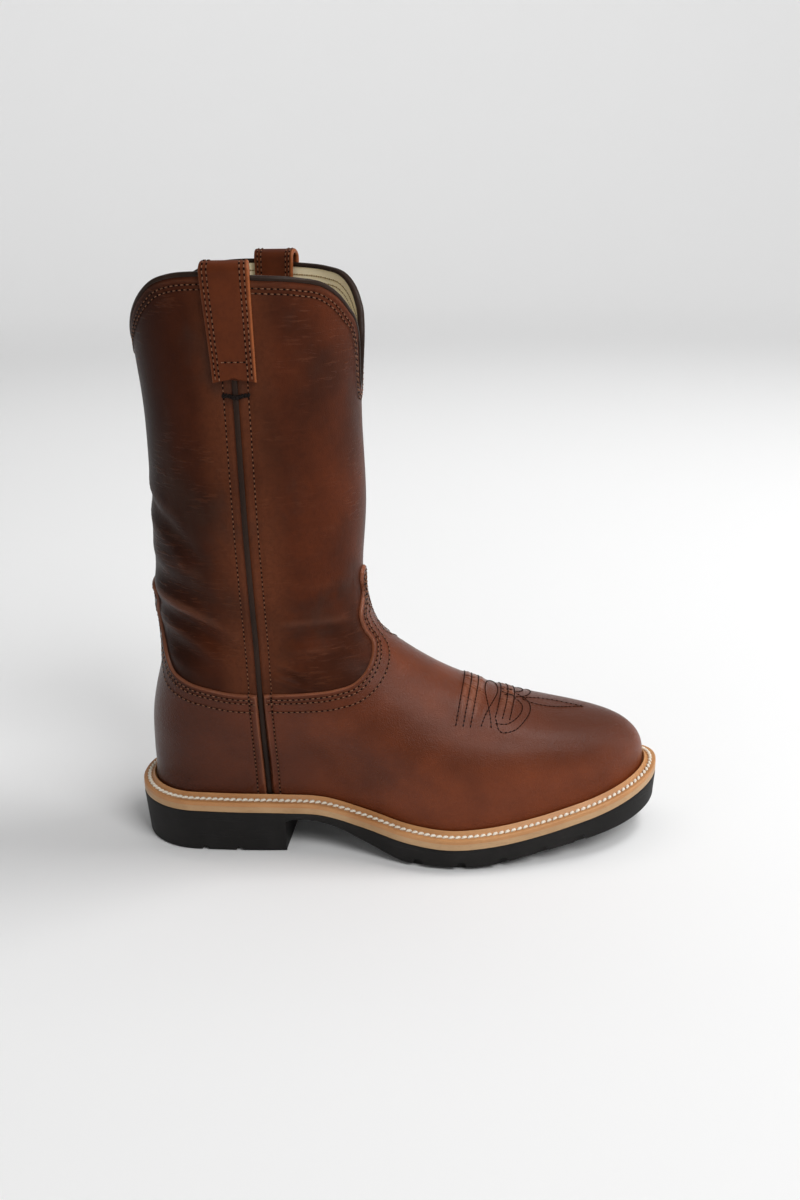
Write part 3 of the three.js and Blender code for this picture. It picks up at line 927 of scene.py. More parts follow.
class Sock:
    """A node's output that takes part in Python sums."""

    def __init__(self, nodes: "Nodes", socket: bpy.types.NodeSocket) -> None:
        """Keeps the node tree's builder and the output."""
        self.nodes = nodes
        self.socket = socket

    def _math(self, operation: str, *values: "Sock | float") -> "Sock":
        """Adds a Math node of these values."""
        node = self.nodes.node(
            "ShaderNodeMath", {"operation": operation}, dict(enumerate(values))
        )
        return Sock(self.nodes, node.outputs[0])

    def __add__(self, other: "Sock | float") -> "Sock":
        """This plus other."""
        return self._math("ADD", self, other)

    def __radd__(self, other: float) -> "Sock":
        """Other plus this."""
        return self._math("ADD", other, self)

    def __sub__(self, other: "Sock | float") -> "Sock":
        """This less other."""
        return self._math("SUBTRACT", self, other)

    def __rsub__(self, other: float) -> "Sock":
        """Other less this."""
        return self._math("SUBTRACT", other, self)

    def __mul__(self, other: "Sock | float") -> "Sock":
        """This times other."""
        return self._math("MULTIPLY", self, other)

    def __rmul__(self, other: float) -> "Sock":
        """Other times this."""
        return self._math("MULTIPLY", other, self)

    def __pow__(self, other: float) -> "Sock":
        """This to a power."""
        return self._math("POWER", self, other)

    def between(self, low: float, high: float) -> "Sock":
        """Smooth step of this, 0 below low and 1 above high."""
        node = self.nodes.node(
            "ShaderNodeMapRange",
            {"interpolation_type": "SMOOTHSTEP"},
            {"Value": self, "From Min": low, "From Max": high},
        )
        return Sock(self.nodes, node.outputs[0])


class Nodes:
    """Builds one material's nodes."""

    def __init__(self, name: str) -> None:
        """Starts an empty material of that name."""
        self.material = bpy.data.materials.new(name)
        self.material.use_nodes = True
        self.tree = self.material.node_tree
        self.tree.nodes.clear()

    def node(
        self,
        kind: str,
        settings: dict[str, Any] | None = None,
        inputs: dict[str | int, Any] | None = None,
    ) -> bpy.types.Node:
        """Adds a node.

        Args:
            kind: The node's type.
            settings: Its settings, set first.
            inputs: Values or links of its inputs, by name or number.

        Returns:
            The node.
        """
        node = self.tree.nodes.new(kind)
        for key, value in (settings or {}).items():
            if key == "stops":
                ramp = node.color_ramp.elements
                while len(ramp) < len(value):
                    ramp.new(0.5)
                for element, (place, colour) in zip(ramp, value):
                    element.position = place
                    element.color = (*colour, 1.0)
            else:
                setattr(node, key, value)
        for key, value in (inputs or {}).items():
            if isinstance(value, Sock):
                self.tree.links.new(value.socket, node.inputs[key])
            elif isinstance(value, tuple) and node.inputs[key].type == "RGBA":
                node.inputs[key].default_value = (*value, 1.0)
            else:
                node.inputs[key].default_value = value
        return node

    def out(self, node: bpy.types.Node, key: str | int = 0) -> Sock:
        """A node's output."""
        return Sock(self, node.outputs[key])

    def place(self, stretch: tuple[float, float, float] = (1, 1, 1)) -> Sock:
        """Object coordinates, stretched along the axes."""
        where = self.out(self.node("ShaderNodeTexCoord"), "Object")
        if stretch == (1, 1, 1):
            return where
        return self.out(
            self.node(
                "ShaderNodeVectorMath",
                {"operation": "MULTIPLY"},
                {0: where, 1: stretch},
            )
        )

    def axis(self, name: str) -> Sock:
        """One of the object coordinates, in metres."""
        return self.out(self.node("ShaderNodeSeparateXYZ", {}, {0: self.place()}), name)

    def noise(
        self, scale: float, detail: float = 3.0, roughness: float = 0.55, where: Sock | None = None
    ) -> Sock:
        """Noise with so many features to the metre."""
        node = self.node(
            "ShaderNodeTexNoise",
            {},
            {
                "Vector": where or self.place(),
                "Scale": scale,
                "Detail": detail,
                "Roughness": roughness,
            },
        )
        return self.out(node, "Fac" if "Fac" in node.outputs else 0)

    def cells(self, scale: float, feature: str = "F1", where: Sock | None = None) -> Sock:
        """Distance pattern of cells with so many to the metre."""
        node = self.node(
            "ShaderNodeTexVoronoi",
            {"feature": feature},
            {"Vector": where or self.place(), "Scale": scale},
        )
        return self.out(node, "Distance")

    def attribute(self, name: str) -> Sock:
        """A value painted on the mesh."""
        return self.out(self.node("ShaderNodeAttribute", {"attribute_name": name}), "Fac")

    def mix(self, factor: Sock | float, a: Sock | Colour, b: Sock | Colour) -> Sock:
        """Colour between two."""
        node = self.node("ShaderNodeMix", {"data_type": "RGBA"})
        for key, value in {0: factor, 6: a, 7: b}.items():
            if isinstance(value, Sock):
                self.tree.links.new(value.socket, node.inputs[key])
            else:
                node.inputs[key].default_value = (*value, 1.0) if key else value
        return Sock(self, node.outputs[2])

    def bump(self, height: Sock, depth: float, normal: Sock | None = None) -> Sock:
        """Bump of a height from 0 to 1, over a depth in metres."""
        inputs: dict[str | int, Any] = {"Height": height, "Distance": depth, "Strength": 1.0}
        if normal is not None:
            inputs["Normal"] = normal
        return self.out(self.node("ShaderNodeBump", {}, inputs))

    def surface(self, inputs: dict[str, Any]) -> bpy.types.Material:
        """Ends the material in one shader.

        Args:
            inputs: Values or links of the shader's inputs.

        Returns:
            The material.
        """
        shader = self.node("ShaderNodeBsdfPrincipled", {}, inputs)
        output = self.node("ShaderNodeOutputMaterial")
        self.tree.links.new(shader.outputs[0], output.inputs[0])
        return self.material


@dataclass(frozen=True)
class PullUpLeather:
    """Oiled leather whose dye moves where it is stretched: cloudy, with paler creases, and with
    painted shade towards the back, on the toe's top and in fold troughs.
    """

    name: str
    deep: Colour
    body: Colour
    glow: Colour
    gloss: float = 0.4
    coat: float = 0.04
    mirror: float = 0.08
    cloud: float = 11.0
    grain: float = 0.00012
    rim: float = 0.55
    # Strength and reach of the painted shade towards the back of the boot.
    shade: float = 0.0
    painted_shade_from: float = -0.13
    painted_shade_to: float = -0.03
    seam_glow: float = 0.0
    # Strength of the painted shade on the top of the toe.
    painted_toe_shade: float = 0.0
    wrinkles: float = 0.0
    speckle: float = 0.12

    def build(self) -> bpy.types.Material:
        """Makes the material."""
        n = Nodes(self.name)
        cloud = n.noise(self.cloud, 3.0, 0.6)
        drift = n.noise(46.0, 4.0, 0.6)
        fine = n.noise(420.0, 3.0, 0.7)
        wear = n.attribute("wear")
        tone = (cloud * 0.7 + drift * 0.3).between(0.34, 0.66)
        colour = n.mix(tone, self.deep, self.body)
        # Painted shade: the colour darkens towards the back of the boot, by the shade strength.
        heel = 1.0 - n.axis("X").between(self.painted_shade_from, self.painted_shade_to)
        colour = n.mix(heel * self.shade, colour, tuple(c * 0.3 for c in self.deep))
        away = n.axis("X") - SIZES.seam * MM
        beside = (1.0 - (away * away).between(0.00005, 0.0006)) * cloud.between(0.3, 0.62)
        colour = n.mix(beside * self.seam_glow, colour, tuple(c * 0.6 for c in self.glow))
        # Painted shade: darker on the top of the toe.
        toe = n.axis("X").between(0.0, 0.1) * n.axis("Z").between(0.048, 0.07)
        colour = n.mix(toe * self.painted_toe_shade, colour, tuple(c * 0.75 for c in self.deep))
        raised = (wear + (drift - 0.5) * 0.4).between(0.15, 0.9)
        colour = n.mix(raised * self.rim, colour, self.glow)
        # Painted shade: fold troughs, where the wear value is negative, are darkened.
        sunk = (wear * -1.0).between(0.1, 1.2)
        colour = n.mix(sunk * 0.35, colour, tuple(c * 0.6 for c in self.deep))
        worn = n.noise(17.0, 3.0, 0.6).between(0.48, 0.66) * self.wrinkles
        wrinkle = n.noise(95.0, 3.0, 0.6, n.place((1.0, 1.0, 6.5))).between(0.52, 0.66) * worn
        colour = n.mix(wrinkle * 0.16, colour, self.glow)
        dull = n.noise(19.0, 4.0, 0.65, n.place((1.0, 1.0, 0.7))).between(0.52, 0.7)
        colour = n.mix(dull * self.wrinkles * 0.55, colour, (0.045, 0.023, 0.016))
        speckle = n.mix((fine - 0.5).between(-0.12, 0.3) * 0.35, colour, self.deep)
        pores = n.cells(1500.0)
        pebble = n.noise(760.0, 3.0, 0.65)
        scratch = n.noise(60.0, 5.0, 0.75, n.place((1.0, 1.0, 0.16)))
        relief = pebble * 0.55 + pores * 0.45
        normal = n.bump(relief, self.grain)
        normal = n.bump(scratch, 0.00012, normal)
        normal = n.bump(wrinkle, 0.0002, normal)
        rough = self.gloss + (fine - 0.5) * self.speckle + (drift - 0.5) * 0.14
        return n.surface(
            {
                "Base Color": speckle,
                "Roughness": rough,
                "Normal": normal,
                "Coat Weight": raised * 0.12 + self.coat,
                "Coat Roughness": 0.3,
                "Specular IOR Level": self.mirror,
            }
        )


@dataclass(frozen=True)
class EdgeLeather:
    """Vegetable-tanned sole leather: tan, with streaks along its cut edge."""

    name: str
    pale: Colour
    body: Colour
    dark: Colour
    gloss: float = 0.5

    def build(self) -> bpy.types.Material:
        """Makes the material."""
        n = Nodes(self.name)
        streaks = n.noise(34.0, 5.0, 0.7, n.place((1.0, 1.0, 26.0)))
        patches = n.noise(22.0, 3.0, 0.6)
        fibre = n.noise(900.0, 3.0, 0.7, n.place((0.4, 0.4, 1.0)))
        colour = n.mix(patches.between(0.35, 0.65), self.body, self.pale)
        colour = n.mix(streaks.between(0.5, 0.8) * 0.3, colour, self.dark)
        colour = n.mix(fibre.between(0.5, 0.8) * 0.35, colour, self.dark)
        normal = n.bump(streaks * 0.5 + fibre * 0.5, 0.00018)
        return n.surface(
            {
                "Base Color": colour,
                "Roughness": self.gloss + (fibre - 0.5) * 0.2,
                "Normal": normal,
                "Coat Weight": 0.1,
                "Coat Roughness": 0.4,
            }
        )


@dataclass(frozen=True)
class SoleRubber:
    """Moulded black rubber with handling marks."""

    name: str
    body: Colour
    dust: Colour

    def build(self) -> bpy.types.Material:
        """Makes the material."""
        n = Nodes(self.name)
        grain = n.noise(1500.0, 2.0, 0.6)
        patches = n.noise(30.0, 4.0, 0.65)
        scuffs = n.noise(55.0, 6.0, 0.8, n.place((0.35, 0.35, 5.0)))
        colour = n.mix(patches.between(0.4, 0.7) * 0.45, self.body, self.dust)
        colour = n.mix(scuffs.between(0.6, 0.72) * 0.4, colour, self.dust)
        normal = n.bump(grain, 0.00004)
        normal = n.bump(scuffs.between(0.55, 0.7), 0.00012, normal)
        return n.surface(
            {
                "Base Color": colour,
                "Roughness": 0.6 + (patches - 0.5) * 0.2,
                "Normal": normal,
                "Specular IOR Level": 0.16,
            }
        )


@dataclass(frozen=True)
class Thread:
    """Waxed sewing thread with its twist."""

    name: str
    body: Colour
    shade: Colour
    gloss: float = 0.5

    def build(self) -> bpy.types.Material:
        """Makes the material."""
        n = Nodes(self.name)
        twist = n.noise(2600.0, 2.0, 0.5)
        tint = n.noise(120.0, 2.0, 0.5)
        colour = n.mix(twist.between(0.35, 0.65), self.shade, self.body)
        colour = n.mix(tint.between(0.5, 0.8) * 0.4, colour, self.shade)
        return n.surface(
            {
                "Base Color": colour,
                "Roughness": self.gloss + (tint - 0.5) * 0.1,
                "Normal": n.bump(twist, 0.00012),
                "Specular IOR Level": 0.06,
            }
        )


@dataclass(frozen=True)
class LiningLeather:
    """Soft undyed lining leather."""

    name: str
    body: Colour
    shade: Colour

    def build(self) -> bpy.types.Material:
        """Makes the material."""
        n = Nodes(self.name)
        patches = n.noise(24.0, 4.0, 0.6)
        nap = n.noise(700.0, 4.0, 0.7)
        colour = n.mix(patches.between(0.35, 0.7), self.body, self.shade)
        colour = n.mix(nap.between(0.5, 0.8) * 0.35, colour, self.shade)
        return n.surface(
            {
                "Base Color": colour,
                "Roughness": 0.78 + (nap - 0.5) * 0.2,
                "Normal": n.bump(nap * 0.6 + n.cells(1100.0) * 0.4, 0.0001),
                "Sheen Weight": 0.15,
            }
        )


@dataclass(frozen=True)
class StudioPaper:
    """Seamless pale backdrop paper."""

    name: str
    body: Colour

    def build(self) -> bpy.types.Material:
        """Makes the material."""
        n = Nodes(self.name)
        tone = n.noise(1.2, 2.0, 0.5)
        colour = n.mix(tone, self.body, tuple(c * 0.985 for c in self.body))
        return n.surface({"Base Color": colour, "Roughness": 0.9, "Specular IOR Level": 0.1})


# Pieces ---------------------------------------------------------------------------------


class Wardrobe:
    """Every finish of the boot, made once."""

    def __init__(self) -> None:
        """Makes the materials."""
        self.shaft = PullUpLeather(
            "shaft_pull_up",
            (0.036, 0.0098, 0.0042),
            (0.098, 0.022, 0.0072),
            (0.24, 0.078, 0.034),
            mirror=0.05,
            coat=0.03,
            rim=0.3,
            # Painted shade towards the back of the shaft.
            shade=0.9,
            painted_shade_from=-0.135,
            painted_shade_to=-0.068,
            seam_glow=0.4,
            wrinkles=1.0,
        ).build()
        self.vamp = PullUpLeather(
            "vamp_pull_up",
            (0.1, 0.0215, 0.006),
            (0.178, 0.0385, 0.0105),
            (0.36, 0.135, 0.07),
            gloss=0.33,
            coat=0.08,
            mirror=0.17,
            grain=0.0004,
            speckle=0.25,
            rim=0.45,
            # Painted shade towards the back, over the counter.
            shade=0.8,
            painted_shade_from=-0.15,
            painted_shade_to=0.0,
            # Painted shade on the top of the toe.
            painted_toe_shade=0.75,
        ).build()
        self.strap = PullUpLeather(
            "strap_pull_up",
            (0.06, 0.014, 0.005),
            (0.13, 0.03, 0.009),
            (0.38, 0.11, 0.032),
            rim=0.65,
        ).build()
        self.trim = PullUpLeather(
            "trim_calf",
            (0.014, 0.0075, 0.0052),
            (0.034, 0.018, 0.012),
            (0.08, 0.05, 0.036),
            gloss=0.36,
            coat=0.05,
            mirror=0.08,
        ).build()
        self.midsole = EdgeLeather(
            "midsole_edge", (0.54, 0.33, 0.165), (0.42, 0.235, 0.1), (0.25, 0.12, 0.045)
        ).build()
        self.welt = EdgeLeather(
            "welt_leather", (0.56, 0.27, 0.1), (0.45, 0.195, 0.062), (0.25, 0.095, 0.028)
        ).build()
        self.insole = EdgeLeather(
            "insole_leather", (0.56, 0.42, 0.26), (0.48, 0.34, 0.19), (0.3, 0.2, 0.1)
        ).build()
        self.rubber = SoleRubber("sole_rubber", (0.0105, 0.0095, 0.009), (0.026, 0.024, 0.023)).build()
        self.lining = LiningLeather(
            "lining_leather", (0.9, 0.81, 0.58), (0.76, 0.65, 0.43)
        ).build()
        self.dark_thread = Thread("dark_thread", (0.018, 0.008, 0.006), (0.004, 0.002, 0.002)).build()
        self.brown_thread = Thread("brown_thread", (0.32, 0.15, 0.085), (0.1, 0.045, 0.026)).build()
        self.black_thread = Thread("black_thread", (0.02, 0.014, 0.012), (0.004, 0.003, 0.003)).build()
        # Near-black finish of the discs painted as needle-hole shade.
        self.hole = Thread("pinhole_shade", (0.014, 0.006, 0.004), (0.005, 0.003, 0.002), 0.9).build()
        self.white_thread = Thread("white_thread", (0.95, 0.92, 0.84), (0.72, 0.62, 0.46)).build()
        self.tan_thread = Thread("tan_thread", (0.42, 0.3, 0.14), (0.2, 0.13, 0.06)).build()


def dress(piece: bpy.types.Object, *materials: bpy.types.Material) -> bpy.types.Object:
    """Gives a piece its materials, in the order of its slots."""
    slots = [p.material_index for p in piece.data.polygons]
    piece.data.materials.clear()
    for material in materials:
        piece.data.materials.append(material)
    if len(materials) > 1:
        piece.data.polygons.foreach_set("material_index", slots)
    return piece


def settle(
    piece: bpy.types.Object, nodes: Sequence[str] = ()
) -> bpy.types.Object:
    """Ties a finished piece to the boot.

    Args:
        piece: The piece.
        nodes: CAD nodes it stands for.

    Returns:
        The piece.
    """
    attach(piece, "root")
    if nodes:
        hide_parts(*nodes)
    log.info("%s: %d faces", piece.name, len(piece.data.polygons))
    return piece


@dataclass
class Sole:
    """Rubber outsole, leather midsole and stitched welt."""

    form: SoleForm
    columns: int = 360
    stitch: StitchKind = field(
        default_factory=lambda: StitchKind(3.5, 3.6, 2.1, 1.8, 0.65, 0.72, 0.0)
    )

    def _feature_turns(self) -> Array:
        """Turns of the outsole's columns, close beside each sharp change along its length."""
        s = self.form.sizes
        marks = []
        breast = -s.half + s.heel_breast
        marks += [breast - 0.05, breast + 0.05, breast + 0.8]
        for share in FOREFOOT_GROOVES:
            x = -s.half + share * s.sole_length
            marks += [x + d for d in (-3.6, -3.1, -2.4, -1.6, -0.6, 0.6, 1.6, 2.4, 3.1, 3.6)]
        for share in HEEL_GROOVES:
            x = -s.half + share * s.sole_length
            marks += [x + d for d in (-2.6, -2.1, -1.5, -0.8, 0.8, 1.5, 2.1, 2.6)]
        along = (np.array(marks) + s.half) / s.sole_length
        turn = np.arccos(np.clip(2 * along - 1, -1, 1)) / (2 * np.pi)
        even = np.linspace(0, 0.5, self.columns // 2 + 1)
        keep = np.array([np.min(np.abs(turn - t)) > 0.0007 for t in even[1:-1]])
        half = np.unique(np.concatenate([[0, 0.5], even[1:-1][keep], turn]))
        return np.concatenate([half, 1 - half[-2::-1]])

    def _bottom(self, x: Array) -> tuple[Array, Array]:
        """Height of the rubber's underside, and how much its notches add at the wall."""
        s = self.form.sizes
        breast = -s.half + s.heel_breast
        heel = x < breast
        cut = np.zeros_like(x)
        for share in FOREFOOT_GROOVES:
            away = np.abs(x - (-s.half + share * s.sole_length))
            cut = cut + s.lug_depth * (1 - smooth(1.6, 3.5, away)) * ~heel
        for share in HEEL_GROOVES:
            away = np.abs(x - (-s.half + share * s.sole_length))
            cut = cut + 1.8 * (1 - smooth(0.6, 2.3, away)) * heel
        return np.where(heel, 0.0, self.form.tread(x)), cut

    def outsole(self, wear: Wardrobe) -> bpy.types.Object:
        """Makes the rubber sole with its wall, its lip and its lugs.

        Args:
            wear: The boot's finishes.

        Returns:
            The dressed piece.
        """
        form, s = self.form, self.form.sizes
        breast = -s.half + s.heel_breast
        core = 8.0
        # share out from the centre line, inset, height, counted from the top, notched
        rows = [
            (0.0, core, 0.0, 0, 0),
            (0.35, core, 0.0, 0, 0),
            (0.7, core, 0.0, 0, 0),
            (1.0, core, 0.0, 0, 0),
            (1.0, 3.6, 0.0, 0, 0),
            (1.0, 3.25, 0.35, 0, 0),
            (1.0, 2.9, 1.7, 0, 1),
            (1.0, 2.3, 1.65, 0, 1),
            (1.0, 0.6, 1.7, 0, 1),
            (1.0, 0.15, 1.95, 0, 1),
            (1.0, 0.0, 2.5, 0, 1),
            (1.0, 0.0, 3.4, 0, 1),
            (1.0, 0.0, -2.0, 1, 0),
            (1.0, 0.05, -0.6, 1, 0),
            (1.0, 0.3, -0.12, 1, 0),
            (1.0, 0.9, 0.0, 1, 0),
            (1.0, core, 0.0, 1, 0),
            (0.5, core, 0.0, 1, 0),
            (0.0, core, 0.0, 1, 0),
        ]
        table = np.array(rows, float)

        def lay(turn: Array, row: Array) -> Array:
            """Points of the underside, the wall and the top."""
            out, inset, rise, upper, notched = table[row.astype(int)].T
            x = form.edge(turn)[:, 0]
            top = form.rubber_top(x)
            plain, cut = self._bottom(x)
            notched = np.where((x < breast) & (upper == 0) & (out >= 1), 1, notched)
            bottom = plain + cut * notched
            under = s.heel_undercut * (1 - bottom / np.maximum(top, 1)) * (1 - upper)
            front = smooth(breast, breast + 2.0, x)
            inset = inset * np.where(upper > 0, 1.0, 0.4 + 0.6 * front) + under
            rise = np.where(upper > 0, rise, rise * (0.25 + 0.75 * front))
            here = form.outline(turn, inset)
            there = form.outline(1 - turn, inset)
            middle = (here + there) / 2
            place = middle + (here - middle) * out[:, None]
            height = np.where(upper > 0, top, bottom) + rise
            return np.column_stack([place, np.maximum(height, 0.0)])

        turn = self._feature_turns()
        piece = laid_grid("outsole_rubber", turn, np.arange(len(rows) * 1.0), lay)
        smoothed(dress(piece, wear.rubber), 35)
        return settle(piece, ["outsole"])

    def ring(
        self,
        name: str,
        profile: Sequence[tuple[float, float]],
        base: Callable[[Array], Array],
    ) -> bpy.types.Object:
        """Carries a closed profile round the sole's edge.

        Args:
            name: The piece's name.
            profile: Insets and heights of the profile's corners.
            base: The height that the profile stands on, along the sole.

        Returns:
            The ring.
        """
        corners = np.array([*profile, profile[0]])

        def lay(turn: Array, row: Array) -> Array:
            """Points of the profile's corners."""
            inset, height = corners[row.astype(int)].T
            plan = self.form.outline(turn, inset)
            return np.column_stack([plan, base(plan[:, 0]) + height])

        return laid_grid(name, turns(self.columns), np.arange(len(corners)), lay)

    def midsole(self, wear: Wardrobe) -> bpy.types.Object:
        """Makes the leather midsole, its cut edge a little rounded."""
        t = self.form.sizes.midsole_thickness
        inner = 14.0
        profile = [
            (inner, 0.0),
            (0.5, -0.28),
            (0.12, -0.2),
            (0.0, 0.2),
            (0.0, t / 2),
            (0.0, t - 0.3),
            (0.0, t - 0.06),
            (0.05, t),
            (inner, t),
        ]
        piece = self.ring(
            "midsole_edge", profile, lambda x: self.form.rubber_top(x) + self.form.sizes.clearance
        )
        smoothed(dress(piece, wear.midsole), 50)
        return settle(piece, ["midsole"])

    def welt(self, wear: Wardrobe) -> bpy.types.Object:
        """Makes the welt: a shelf with its stitch channel, and a storm bead by the upper."""
        s = self.form.sizes
        t, bead, reach = s.welt_thickness, s.storm_bead, s.welt_reach
        crown = reach - 0.4 * bead
        profile = [
            (reach + 4.0, -0.28),
            (0.05, -0.28),
            (0.0, -0.22),
            (0.0, 0.1),
            (0.05, t - 0.5),
            (0.3, t - 0.12),
            (0.8, t + 0.02),
            (s.stitch_inset - 1.0, t),
            (s.stitch_inset - 0.5, t - 0.35),
            (s.stitch_inset + 0.5, t - 0.35),
            (s.stitch_inset + 1.0, t + 0.02),
            (crown - 0.9, t + 0.3 * bead),
            (crown - 0.35, t + 0.82 * bead),
            (crown + 0.15, t + bead),
            (crown + 0.65, t + 0.9 * bead),
            (reach, t + 0.4 * bead),
            (reach, t),
            (reach + 4.0, t),
        ]
        piece = self.ring(
            "welt_strip", profile, lambda x: self.form.midsole_top(x) + s.clearance
        )
        smoothed(dress(piece, wear.welt), 60)
        return settle(piece, ["welt"])

    def welt_stitches(self, wear: Wardrobe) -> bpy.types.Object:
        """Sews the welt all round with heavy pale thread."""
        s = self.form.sizes
        turn = turns(1400)
        plan = self.form.outline(turn, s.stitch_inset)
        height = self.form.welt_top(plan[:, 0]) + 0.12
        points = np.column_stack([plan, height])
        normals = np.tile([0.0, 0.0, 1.0], (len(turn), 1))
        piece = StitchRun("welt_stitches", self.stitch).along(points, normals).build()
        dress(piece, wear.white_thread, wear.hole)
        return settle(piece)


@dataclass
class Shaft:
    """Shaft and foot lining of the upper, with its side seams and its collar."""

    form: UpperForm
    columns: int = 320
    leather: float = 1.5
    rolled: float = 0.42

    def _relief_wear(self, level: Array, turn: Array) -> Array:
        """How raised or sunk the leather is, from -1 to 1."""
        base = self.form.point(np.maximum(level, 1), turn)
        return np.clip(self.form.relief(base) / 1.7, -1, 1)

    def shell(self, wear: Wardrobe) -> bpy.types.Object:
        """Makes the shaft's leather, from the welt to the collar.

        Args:
            wear: The boot's finishes.

        Returns:
            The dressed piece.
        """
        form = self.form
        low = np.linspace(0, 0.22, 16)[:-1]
        high = np.linspace(0.22, 1, 104)
        rim = np.linspace(0.98, 1, 12)[:-1]
        outer = np.unique(np.concatenate([low, high[high < 0.98], rim, [1.0]]))
        rows = inner_ring(outer, 80)
        edge_turn = turns(720)
        edge_level = form.collar_level(edge_turn)
        split = 8.0

        def level_of(turn: Array, share: Array) -> Array:
            """Section numbers of shares of the way up to the collar."""
            top = np.interp(np.mod(turn, 1), edge_turn, edge_level)
            knee = 0.22
            below = share / knee * split
            above = split + (top - split) * (share - knee) / (1 - knee)
            return np.where(share < knee, below, above)

        def lay(turn: Array, row: Array) -> Array:
            """Points of the leather's outside, then of its inside."""
            inside = (row > 1) & (row < 3)
            share = np.where(inside, 2 - row, np.where(row >= 3, 0, row))
            level = level_of(turn, np.clip(share, 0, 1))
            top = np.interp(np.mod(turn, 1), edge_turn, edge_level)
            below = (top - level) * 37.0
            roll = self.rolled * np.exp(-(((below - 2.5) / 0.85) ** 2))
            return form.skin(level, turn, np.where(inside, -self.leather, roll))

        def tone(turn: Array, row: Array) -> Array:
            """Wear of the leather from its folds and its rolled collar edge; negative in fold troughs,
            which the material darkens as painted shade.
            """
            share = np.clip(np.where(row > 1, 2 - row, row), 0, 1)
            level = level_of(turn, share)
            top = np.interp(np.mod(turn, 1), edge_turn, edge_level)
            roll = 0.55 * np.exp(-((((top - level) * 37.0 - 2.5) / 0.9) ** 2))
            return self._relief_wear(level, turn) + roll

        piece = laid_grid("shaft_leather", turns(self.columns), rows, lay, {"wear": tone})
        smoothed(dress(piece, wear.shaft), 60)
        return settle(piece, ["upper"])

    def lining(self, wear: Wardrobe) -> bpy.types.Object:
        """Makes the pale lining inside the shaft and the foot."""
        form, s = self.form, self.form.sizes
        outer = np.linspace(0, 1, 115)
        rows = inner_ring(outer, 85)
        edge_turn = turns(720)
        edge_level = form.collar_level(edge_turn)

        def lay(turn: Array, row: Array) -> Array:
            """Points of the lining's back, then of its face."""
            inside = (row > 1) & (row < 3)
            share = np.clip(np.where(inside, 2 - row, np.where(row >= 3, 0, row)), 0, 1)
            top = np.interp(np.mod(turn, 1), edge_turn, edge_level)
            deep = np.where(inside, -s.wall, -self.leather - 0.05)
            return form.skin(share * (top - 0.004), turn, deep)

        piece = laid_grid("lining", turns(230), rows, lay)
        smoothed(dress(piece, wear.lining), 60)
        return settle(piece)

    def _collar_frames(self, count: int) -> tuple[Array, Array, Array, Array]:
        """Turns, edge points, outward and downward vectors round the collar."""
        form = self.form
        turn = turns(count)[:-1]
        level = form.collar_level(turn)
        edge = form.skin(level, turn)
        out = form.outward(level, turn)
        ahead = unit(np.roll(edge, -1, axis=0) - np.roll(edge, 1, axis=0))
        down = unit(np.cross(ahead, out))
        down = np.where(down[:, 2:] > 0, -down, down)
        return turn, edge, out, down

    def binding(self, wear: Wardrobe) -> bpy.types.Object:
        """Makes the rounded dark binding over the collar's edge."""
        s = self.form.sizes
        wall = s.wall
        profile = [
            (1.5, 0.05),
            (1.4, 0.42),
            (1.0, 0.62),
            (0.4, 0.66),
            (-0.15, 0.5),
            (-0.6, 0.1),
            (-0.85, -0.5),
            (-0.9, -wall / 2),
            (-0.85, -wall + 0.5),
            (-0.6, -wall - 0.1),
            (-0.15, -wall - 0.5),
            (0.4, -wall - 0.66),
            (1.0, -wall - 0.62),
            (1.4, -wall - 0.42),
            (1.5, -wall - 0.05),
            (0.0, -wall + 0.2),
            (0.0, -0.2),
        ]
        corners = np.array([*profile, profile[0]])
        count = 360
        _, edge, out, down = self._collar_frames(count)

        def lay(column: Array, row: Array) -> Array:
            """Points of the binding's profile."""
            k = np.mod(np.rint(column), count).astype(int)
            drop, offset = corners[row.astype(int)].T
            return edge[k] + down[k] * drop[:, None] + out[k] * offset[:, None]

        piece = laid_grid("collar_binding", np.arange(count + 1.0), np.arange(len(corners)), lay)
        smoothed(dress(piece, wear.trim), 60)
        return settle(piece, ["collar-binding"])

    def collar_stitches(self, wear: Wardrobe) -> list[bpy.types.Object]:
        """Sews two rows under the collar outside, and two on the lining."""
        _, edge, out, down = self._collar_frames(900)
        close = np.r_[np.arange(900), 0]
        pieces = []
        kind = StitchKind()
        run = StitchRun("collar_stitches", kind)
        for drop, shift in ((5.2, 0.0), (7.6, 0.9)):
            line = (edge + down * drop + out * 0.15)[close]
            run.along(line, out[close], shift)
        pieces.append(settle(dress(run.build(), wear.brown_thread, wear.hole)))
        inside = StitchRun("lining_stitches", kind)
        for drop, shift in ((5.6, 0.0), (8.6, 0.9)):
            line = (edge + down * drop - out * (self.form.sizes.wall + 0.12))[close]
            inside.along(line, -out[close], shift)
        pieces.append(settle(dress(inside.build(), wear.tan_thread, wear.tan_thread)))
        return pieces


